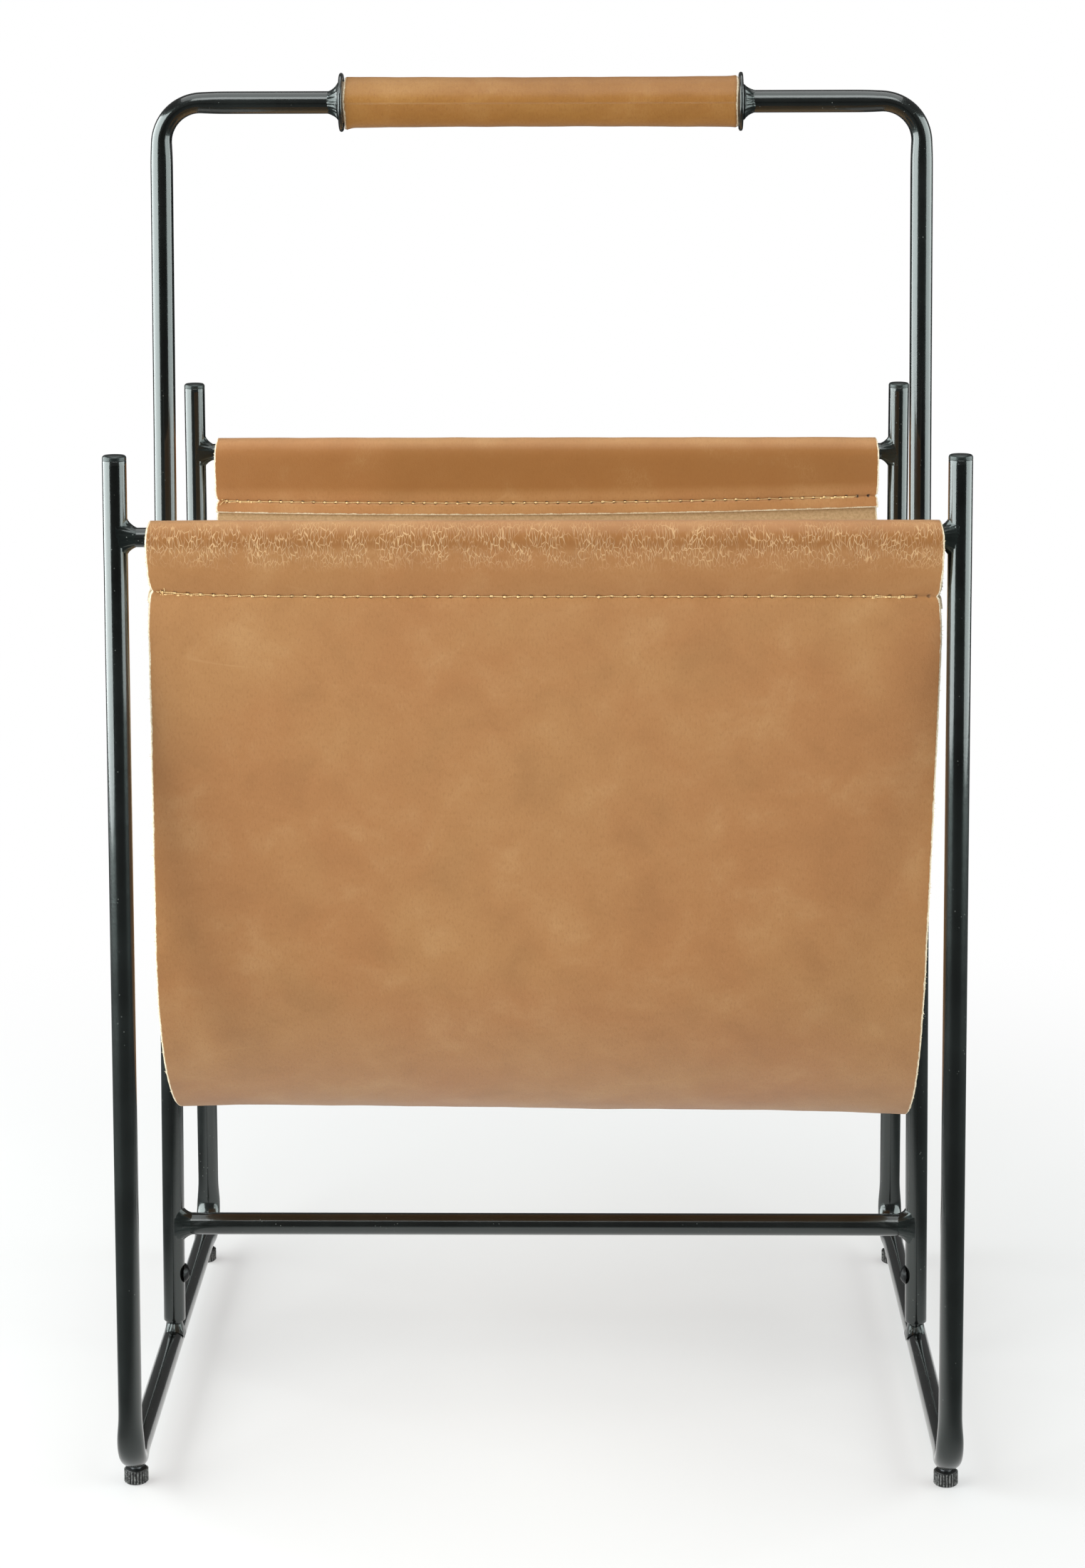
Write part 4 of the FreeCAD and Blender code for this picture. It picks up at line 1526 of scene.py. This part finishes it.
@dataclass
class Stitching:
    """Rows of saddle stitches along the hems, with back-tacks and loose ends."""

    finishes: Finishes
    thread: float = 0.16 * MM
    length: float = 5.4 * MM
    arch: float = 0.05 * MM
    knot: float = 0.56 * MM

    def tree(self) -> tuple[NodeTool, bpy.types.NodeTree]:
        """One arched stitch at each point of a row, turned along it.

        Returns:
            The tool and its tree.
        """
        tool = NodeTool(
            "saddle stitches",
            {
                "Stitch length": ("NodeSocketFloat", self.length),
                "Thread radius": ("NodeSocketFloat", self.thread),
                "Arch": ("NodeSocketFloat", self.arch),
                "Knot radius": ("NodeSocketFloat", self.knot),
                "Outward Y": ("NodeSocketFloat", 1.0),
                "Seed": ("NodeSocketInt", 3),
            },
        )
        tree, bench, geometry, source = tool.start()
        length, radius, arch = (source.outputs[k] for k in ("Stitch length", "Thread radius", "Arch"))
        half = bench.math("MULTIPLY", length, 0.5)
        back = bench.math("MULTIPLY", length, -0.5)
        sunk = bench.math("MULTIPLY", arch, -1.0)
        start = bench.add("ShaderNodeCombineXYZ", {"X": back, "Z": sunk})
        back_end = bench.add("ShaderNodeCombineXYZ", {"X": back, "Z": arch})
        middle = bench.add("ShaderNodeCombineXYZ", {"Z": bench.math("MULTIPLY", arch, 1.4)})
        end = bench.add("ShaderNodeCombineXYZ", {"X": half, "Z": sunk})
        arc_inputs = {"Resolution": 8, "Start": start, "Middle": middle, "End": end}
        arc = bench.add("GeometryNodeCurveQuadraticBezier", arc_inputs)
        loop = bench.add("GeometryNodeCurvePrimitiveCircle", {"Resolution": 7, "Radius": radius})
        swept = {"Curve": arc, "Profile Curve": loop, "Fill Caps": True}
        strand = bench.add("GeometryNodeCurveToMesh", swept)
        ball_sizes = {"Radius": source.outputs["Knot radius"], "Subdivisions": 2}
        ball = bench.add("GeometryNodeMeshIcoSphere", ball_sizes)
        squashed = bench.add(
            "GeometryNodeTransform", {"Geometry": ball, "Translation": back_end, "Scale": (1.25, 0.8, 0.8)}
        )
        strand = bench.add("GeometryNodeJoinGeometry", {"Geometry": [strand, squashed]})
        outward = bench.add("ShaderNodeCombineXYZ", {"Y": source.outputs["Outward Y"]})
        upright = bench.add("FunctionNodeAlignEulerToVector", {"Vector": outward}, axis="Z", pivot_axis="X")
        sway = bench.add(
            "FunctionNodeRandomValue",
            {"Min": (-0.03, -0.03, -0.09), "Max": (0.03, 0.03, 0.09), "Seed": source.outputs["Seed"]},
            data_type="FLOAT_VECTOR",
        )
        swayed = {"Rotation": upright, "Rotate By": sway}
        turned_by = bench.add("FunctionNodeRotateEuler", swayed, space="LOCAL")
        on_points = {"Points": geometry, "Instance": strand, "Rotation": turned_by}
        rows = bench.add("GeometryNodeInstanceOnPoints", on_points)
        sizes = bench.add(
            "FunctionNodeRandomValue",
            {"Min": (0.98, 0.7, 0.7), "Max": (1.02, 1.25, 1.2), "Seed": source.outputs["Seed"]},
            data_type="FLOAT_VECTOR",
        )
        rows = bench.add("GeometryNodeScaleInstances", {"Instances": rows, "Scale": sizes})
        tool.finish(bench, rows, self.finishes.thread)
        return tool, tree

    def row(self, sling: Sling, at: float) -> np.ndarray:
        """Middles of one row's stitches, with doubled stitches at both ends.

        Args:
            sling: The leather.
            at: Distance along the strip to the row.

        Returns:
            The places.
        """
        reach = sling.half - sling.seam_margin
        count = int(2 * reach / sling.pitch)
        x = -reach + sling.pitch * (np.arange(count) + 0.5)
        run = np.full(count, at)
        tack = np.concatenate([x[:3] + sling.pitch * 0.3, x[-3:] - sling.pitch * 0.3])
        x = np.concatenate([x, tack])
        run = np.concatenate([run, np.full(6, at + 0.55 * MM)])
        lift = np.full(len(x), sling.thick / 2 + 0.1 * MM)
        return sling.spot(x, run, lift)

    def loose_ends(self, sling: Sling) -> bpy.types.Object:
        """Short thread ends at the left of each face row.

        Args:
            sling: The leather.

        Returns:
            The piece that holds them all.
        """
        strands = []
        draw = np.random.default_rng(7)
        for at, how_many in ((sling.seams()[1], 5), (sling.seams()[3], 3)):
            for strand in range(how_many):
                x = np.array([-sling.half + sling.seam_margin + draw.uniform(-1.5, 1.0) * MM])
                root = Vector(sling.spot(x, np.array([at]), np.array([sling.thick / 2]))[0])
                drift = Vector((draw.uniform(-1.6, 0.4), -draw.uniform(0.5, 1.0), draw.uniform(-1.0, 0.7)))
                points = []
                for share in np.linspace(0, 1, 7):
                    sideways = 0.25 * math.sin(share * 5 + strand)
                    upward = 0.35 * math.sin(share * 4 + strand)
                    curl = Vector((0, sideways, upward))
                    points.append(root + (drift * share * 1.9 + curl * share) * MM)
                strands.append(self.strand(points, 0.2 * MM))
        return join("thread_ends", strands)

    def strand(self, points: Sequence[Vector], radius: float) -> bpy.types.Object:
        """A thin thread.

        Args:
            points: What it runs through.
            radius: Half its thickness.

        Returns:
            The piece.
        """
        line = np.array([list(p) for p in points])
        tangent = np.gradient(line, axis=0)
        rings = []
        angle = np.linspace(0, TAU, 8, endpoint=False)
        for place_, way in zip(line, tangent):
            a = Vector(way).orthogonal().normalized()
            b = Vector(way).normalized().cross(a)
            around = np.outer(np.cos(angle) * radius, a) + np.outer(np.sin(angle) * radius, b)
            rings.append(place_ + around)
        rings = np.array(rings)
        return new_piece("strand", rings.reshape(-1, 3), ring_skin(rings), self.finishes.thread)

    def build(self, sling: Sling) -> list[bpy.types.Object]:
        """Sews all four rows.

        Args:
            sling: The leather they hold.

        Returns:
            The stitch pieces.
        """
        tool, tree = self.tree()
        names = ["front_flap", "front_face", "back_face", "back_flap"]
        outward = [1.0, -1.0, 1.0, -1.0]
        made = []
        for name, at, way in zip(names, sling.seams(), outward):
            guide = bpy.data.meshes.new(name)
            guide.from_pydata(self.row(sling, at).tolist(), [], [])
            piece = tool.apply(tree, guide, f"{name}_stitches", {"Outward Y": way, "Seed": len(made) + 3})
            piece.data.shade_smooth()
            made.append(place(piece, RACK, Slot.SLING))
        made.append(place(self.loose_ends(sling), RACK, Slot.SLING))
        return made


@dataclass
class FrayedEdges:
    """Loose fibres along the strip's two raw edges."""

    finishes: Finishes
    length: float = 1.5 * MM
    spacing: float = 1.1 * MM
    root: float = 0.16 * MM
    tip: float = 0.02 * MM

    def tree(self) -> tuple[NodeTool, bpy.types.NodeTree]:
        """A thin cone at each point, leaning about its outward way.

        Returns:
            The tool and its tree.
        """
        tool = NodeTool(
            "edge fibres",
            {
                "Fibre length": ("NodeSocketFloat", self.length),
                "Root radius": ("NodeSocketFloat", self.root),
                "Outward X": ("NodeSocketFloat", 1.0),
                "Seed": ("NodeSocketInt", 1),
            },
        )
        tree, bench, geometry, source = tool.start()
        get = source.outputs
        sizes = {"Vertices": 5, "Radius Top": self.tip}
        sizes |= {"Radius Bottom": get["Root radius"], "Depth": get["Fibre length"]}
        cone = bench.add("GeometryNodeMeshCone", sizes)
        outward = bench.add("ShaderNodeCombineXYZ", {"X": get["Outward X"]})
        aligned = bench.add("FunctionNodeAlignEulerToVector", {"Vector": outward}, axis="Z")
        lean = bench.add(
            "FunctionNodeRandomValue",
            {"Min": (-1.1, -1.1, -0.3), "Max": (1.1, 1.1, 0.3), "Seed": get["Seed"]},
            data_type="FLOAT_VECTOR",
        )
        leaned = {"Rotation": aligned, "Rotate By": lean}
        turned_by = bench.add("FunctionNodeRotateEuler", leaned, space="LOCAL")
        tall = bench.add(
            "FunctionNodeRandomValue",
            {"Min": (0.7, 0.7, 0.15), "Max": (1.2, 1.2, 0.8), "Seed": get["Seed"]},
            data_type="FLOAT_VECTOR",
        )
        placed = {"Points": geometry, "Instance": cone, "Rotation": turned_by, "Scale": tall}
        tool.finish(bench, bench.add("GeometryNodeInstanceOnPoints", placed), self.finishes.fray)
        return tool, tree

    def build(self, sling: Sling) -> list[bpy.types.Object]:
        """Frays both edges.

        Args:
            sling: The leather whose edges they are.

        Returns:
            The two rows of fibres.
        """
        tool, tree = self.tree()
        made = []
        for number, (side, sign) in enumerate(SIDES.items()):
            draw = np.random.default_rng(20 + number)
            count = int(sling.length / self.spacing)
            run = np.sort(draw.uniform(1 * MM, sling.length - 1 * MM, count))
            thick_here = swell(run, run * 0, 45 * MM, 30 + number) > draw.uniform(-0.9, 0.7, count)
            run = run[thick_here]
            lift = draw.uniform(-0.42, 0.42, len(run)) * sling.thick
            x = np.full(len(run), sign * (sling.half - 0.15 * MM))
            guide = bpy.data.meshes.new(f"{side}_fray")
            guide.from_pydata(sling.spot(x, run, lift).tolist(), [], [])
            values = {"Outward X": float(sign), "Seed": number + 1}
            piece = tool.apply(tree, guide, f"{side}_edge_fibres", values)
            made.append(place(piece, RACK, Slot.SLING))
        return made


# ---- glides ---------------------------------------------------------------
@dataclass
class Glides:
    """The four ribbed nylon feet."""

    finishes: Finishes
    rib: float = 0.42 * MM
    ribs: int = 24
    bore: float = 2.5 * MM
    socket: float = 1.4 * MM

    def tree(self) -> tuple[NodeTool, bpy.types.NodeTree]:
        """Ribs stood round a core, joined with it.

        Returns:
            The tool and its tree.
        """
        tool = NodeTool(
            "glide ribs",
            {
                "Ribs": ("NodeSocketInt", self.ribs),
                "Ring radius": ("NodeSocketFloat", 4.8 * MM),
                "Rib radius": ("NodeSocketFloat", self.rib),
                "Rib height": ("NodeSocketFloat", 5.0 * MM),
                "Middle X": ("NodeSocketFloat", 0.0),
                "Middle Y": ("NodeSocketFloat", 0.0),
                "Middle Z": ("NodeSocketFloat", 0.0),
            },
        )
        tree, bench, core, source = tool.start()
        get = source.outputs
        ring = bench.add("GeometryNodeMeshCircle", {"Vertices": get["Ribs"], "Radius": get["Ring radius"]})
        middle = bench.add(
            "ShaderNodeCombineXYZ", {"X": get["Middle X"], "Y": get["Middle Y"], "Z": get["Middle Z"]}
        )
        rib_sizes = {"Vertices": 10, "Side Segments": 2}
        rib_sizes |= {"Radius": get["Rib radius"], "Depth": get["Rib height"]}
        rib = bench.add("GeometryNodeMeshCylinder", rib_sizes)
        marked = bench.add(
            "GeometryNodeStoreNamedAttribute",
            {"Geometry": rib, "Name": WEAR_LAYER, "Value": 1.0},
            data_type="FLOAT",
            domain="POINT",
        )
        stood = bench.add("GeometryNodeInstanceOnPoints", {"Points": ring, "Instance": marked})
        moved = bench.add("GeometryNodeTransform", {"Geometry": stood, "Translation": middle})
        both = bench.add("GeometryNodeJoinGeometry", {"Geometry": [core, moved]})
        tool.finish(bench, both, self.finishes.nylon)
        return tool, tree

    def core(self, low: Vector, high: Vector) -> bpy.types.Mesh:
        """The foot's core: a turned cup with a socket for its stud.

        Args:
            low: Lowest corner of the foot's box.
            high: Highest corner of it.

        Returns:
            The core's mesh.
        """
        radius = (high.x - low.x) / 2 - 0.45 * MM
        tall = high.z - low.z
        centre = Vector(((low.x + high.x) / 2, (low.y + high.y) / 2, low.z))
        hole = self.bore + 0.06 * MM
        profile = [(0, 0), (0, radius - 0.5 * MM), (0.15 * MM, radius - 0.15 * MM), (0.5 * MM, radius)]
        profile += [(tall - 0.8 * MM, radius), (tall - 0.3 * MM, radius - 0.2 * MM)]
        profile += [(tall, radius - 0.8 * MM), (tall, hole), (self.socket + 0.1 * MM, hole), (self.socket, 0)]
        rings, faces = turned(profile, centre, Vector((0, 0, 1)), 72)
        piece = new_piece("core", rings.reshape(-1, 3), faces, self.finishes.nylon)
        mesh = piece.data
        bpy.data.objects.remove(piece)
        return mesh

    def build(self) -> None:
        """Builds each foot on its own body."""
        tool, tree = self.tree()
        for end in ENDS:
            for side in SIDES:
                low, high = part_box(f"{end}_{side}_glide_foot")
                middle = (low + high) / 2
                values = {
                    "Ring radius": (high.x - low.x) / 2 - self.rib * 0.98,
                    "Rib height": high.z - low.z - 1.1 * MM,
                    "Middle X": middle.x,
                    "Middle Y": middle.y,
                    "Middle Z": middle.z,
                }
                piece = tool.apply(tree, self.core(low, high), f"{end}_{side}_ribbed_foot", values)
                piece.data.shade_smooth()
                piece.data.set_sharp_from_angle(angle=math.radians(35))
                place(piece, f"{end}_{side}_foot", Slot.GLIDE, f"{end}_{side}_glide_foot")


# ---- studio ---------------------------------------------------------------
@dataclass(frozen=True)
class Lamp:
    """One soft box: its place, what it faces, its width and height, and how bright it looks."""

    name: str
    place: tuple[float, float, float]
    faces: tuple[float, float, float]
    size: tuple[float, float]
    radiance: float
    tint: tuple[float, float, float] = (1.0, 1.0, 1.0)

    def hang(self) -> None:
        """Puts the lamp in the scene."""
        light = bpy.data.lights.new(self.name, "AREA")
        light.shape = "RECTANGLE"
        light.size, light.size_y = self.size
        light.energy = self.radiance * math.pi * self.size[0] * self.size[1]
        light.color = self.tint
        made = bpy.data.objects.new(self.name, light)
        away = Vector(self.place) - Vector(self.faces)
        made.matrix_world = Matrix.Translation(self.place) @ away.to_track_quat("Z", "Y").to_matrix().to_4x4()
        made.visible_camera = False
        bpy.context.scene.collection.objects.link(made)


@dataclass
class Studio:
    """Floor, soft boxes, sky and camera."""

    eye: tuple[float, float, float] = (0.02307, -1.54406, 0.6162)
    pitch: float = -0.1271
    yaw: float = 0.0148
    roll: float = 0.003
    lens: float = 79.34
    shift: float = -0.20
    floor_half: float = 12.0

    def camera(self) -> None:
        """The camera at its standing place."""
        lens = bpy.data.cameras.new("camera")
        lens.lens = self.lens
        lens.shift_y = self.shift
        lens.clip_start = 0.05
        lens.clip_end = 60.0
        turn = Matrix.Rotation(self.yaw, 3, "Z") @ Matrix.Rotation(self.pitch, 3, "X")
        turn = turn @ Matrix.Rotation(self.roll, 3, "Y")
        right, forward, up = turn.col[0], turn.col[1], turn.col[2]
        made = bpy.data.objects.new("camera", lens)
        basis = Matrix((right, up, -forward)).transposed().to_4x4()
        made.matrix_world = Matrix.Translation(self.eye) @ basis
        bpy.context.scene.collection.objects.link(made)
        bpy.context.scene.camera = made

    def sky(self) -> None:
        """White to the eye, dimmer as a source of light."""
        world = bpy.data.worlds.new("sky")
        bpy.context.scene.world = world
        world.use_nodes = True
        bench = Bench(world.node_tree)
        seen = bench.add("ShaderNodeLightPath", out="Is Camera Ray")
        strength = bench.add("ShaderNodeMapRange", {"Value": seen, "To Min": 0.10, "To Max": 1.0})
        sky = bench.add("ShaderNodeBackground", {"Color": (1.0, 1.0, 1.0, 1.0), "Strength": strength})
        bench.add("ShaderNodeOutputWorld", {"Surface": sky})

    def floor(self) -> None:
        """A pale floor that fades into the sky away from the rack, and gives gloss little to mirror."""
        material, bench = new_material("pale floor")
        where = bench.add("ShaderNodeTexCoord", out="Object")
        far = bench.add("ShaderNodeVectorMath", {0: where}, "Value", operation="LENGTH")
        mirrored = bench.add("ShaderNodeLightPath", out="Is Glossy Ray")
        matt = bench.add("ShaderNodeBsdfDiffuse", {"Color": (0.68, 0.68, 0.675, 1.0)})
        glow = bench.add("ShaderNodeEmission", {"Color": (1.0, 1.0, 1.0, 1.0), "Strength": 1.0})
        dim = bench.add("ShaderNodeBsdfDiffuse", {"Color": (0.07, 0.075, 0.075, 1.0)})
        fade = bench.span(far, 0.26, 0.80, 0.42, 1.0)
        bright = bench.add("ShaderNodeMixShader", {0: fade, 1: matt, 2: glow})
        dark = bench.math("MULTIPLY", mirrored, bench.span(far, 0.14, 0.36))
        mixed = bench.add("ShaderNodeMixShader", {0: dark, 1: bright, 2: dim})
        bench.add("ShaderNodeOutputMaterial", {"Surface": mixed})
        half = self.floor_half
        mesh = bpy.data.meshes.new("floor")
        corners = [(-half, -half, 0), (half, -half, 0), (half, half, 0), (-half, half, 0)]
        mesh.from_pydata(corners, [], [(0, 1, 2, 3)])
        mesh.materials.append(material)
        made = bpy.data.objects.new("floor", mesh)
        bpy.context.scene.collection.objects.link(made)

    def lamps(self) -> list[Lamp]:
        """The soft boxes.

        Returns:
            The lamps, not yet hung.
        """
        return [
            Lamp("left box", (-1.35, -0.25, 0.62), (0, 0, 0.35), (2.3, 1.3), 6.0, (0.95, 1.0, 1.0)),
            Lamp("right box", (1.45, -0.20, 0.62), (0, 0, 0.35), (1.9, 1.2), 3.8, (0.93, 1.0, 0.99)),
            Lamp("top box", (0.0, 0.0, 1.75), (0, 0, 0.0), (1.7, 1.5), 1.5),
            Lamp("high front box", (0.15, -1.35, 2.1), (0, 0, 0.3), (1.6, 0.8), 4.0),
        ]

    def build(self) -> None:
        """Sets the studio up."""
        bpy.context.scene.view_settings.view_transform = "Standard"
        self.camera()
        self.sky()
        self.floor()
        for lamp in self.lamps():
            lamp.hang()
            log.info("%s at radiance %.1f", lamp.name, lamp.radiance)


def main() -> None:
    """Builds the studio and every sub-assembly in order."""
    logging.basicConfig(level=logging.INFO, format="%(name)s: %(message)s")
    Studio().build()
    finishes = Finishes()
    finishes.dress_kept_nodes()
    tubes = TubeFrame(finishes)
    tubes.build()
    Grip(finishes).build()
    Sling(tubes.leg_y(tubes.rod_z), tubes.rod_z).build(Stitching(finishes), FrayedEdges(finishes))
    Glides(finishes).build()


if __name__ == "__main__":
    main()
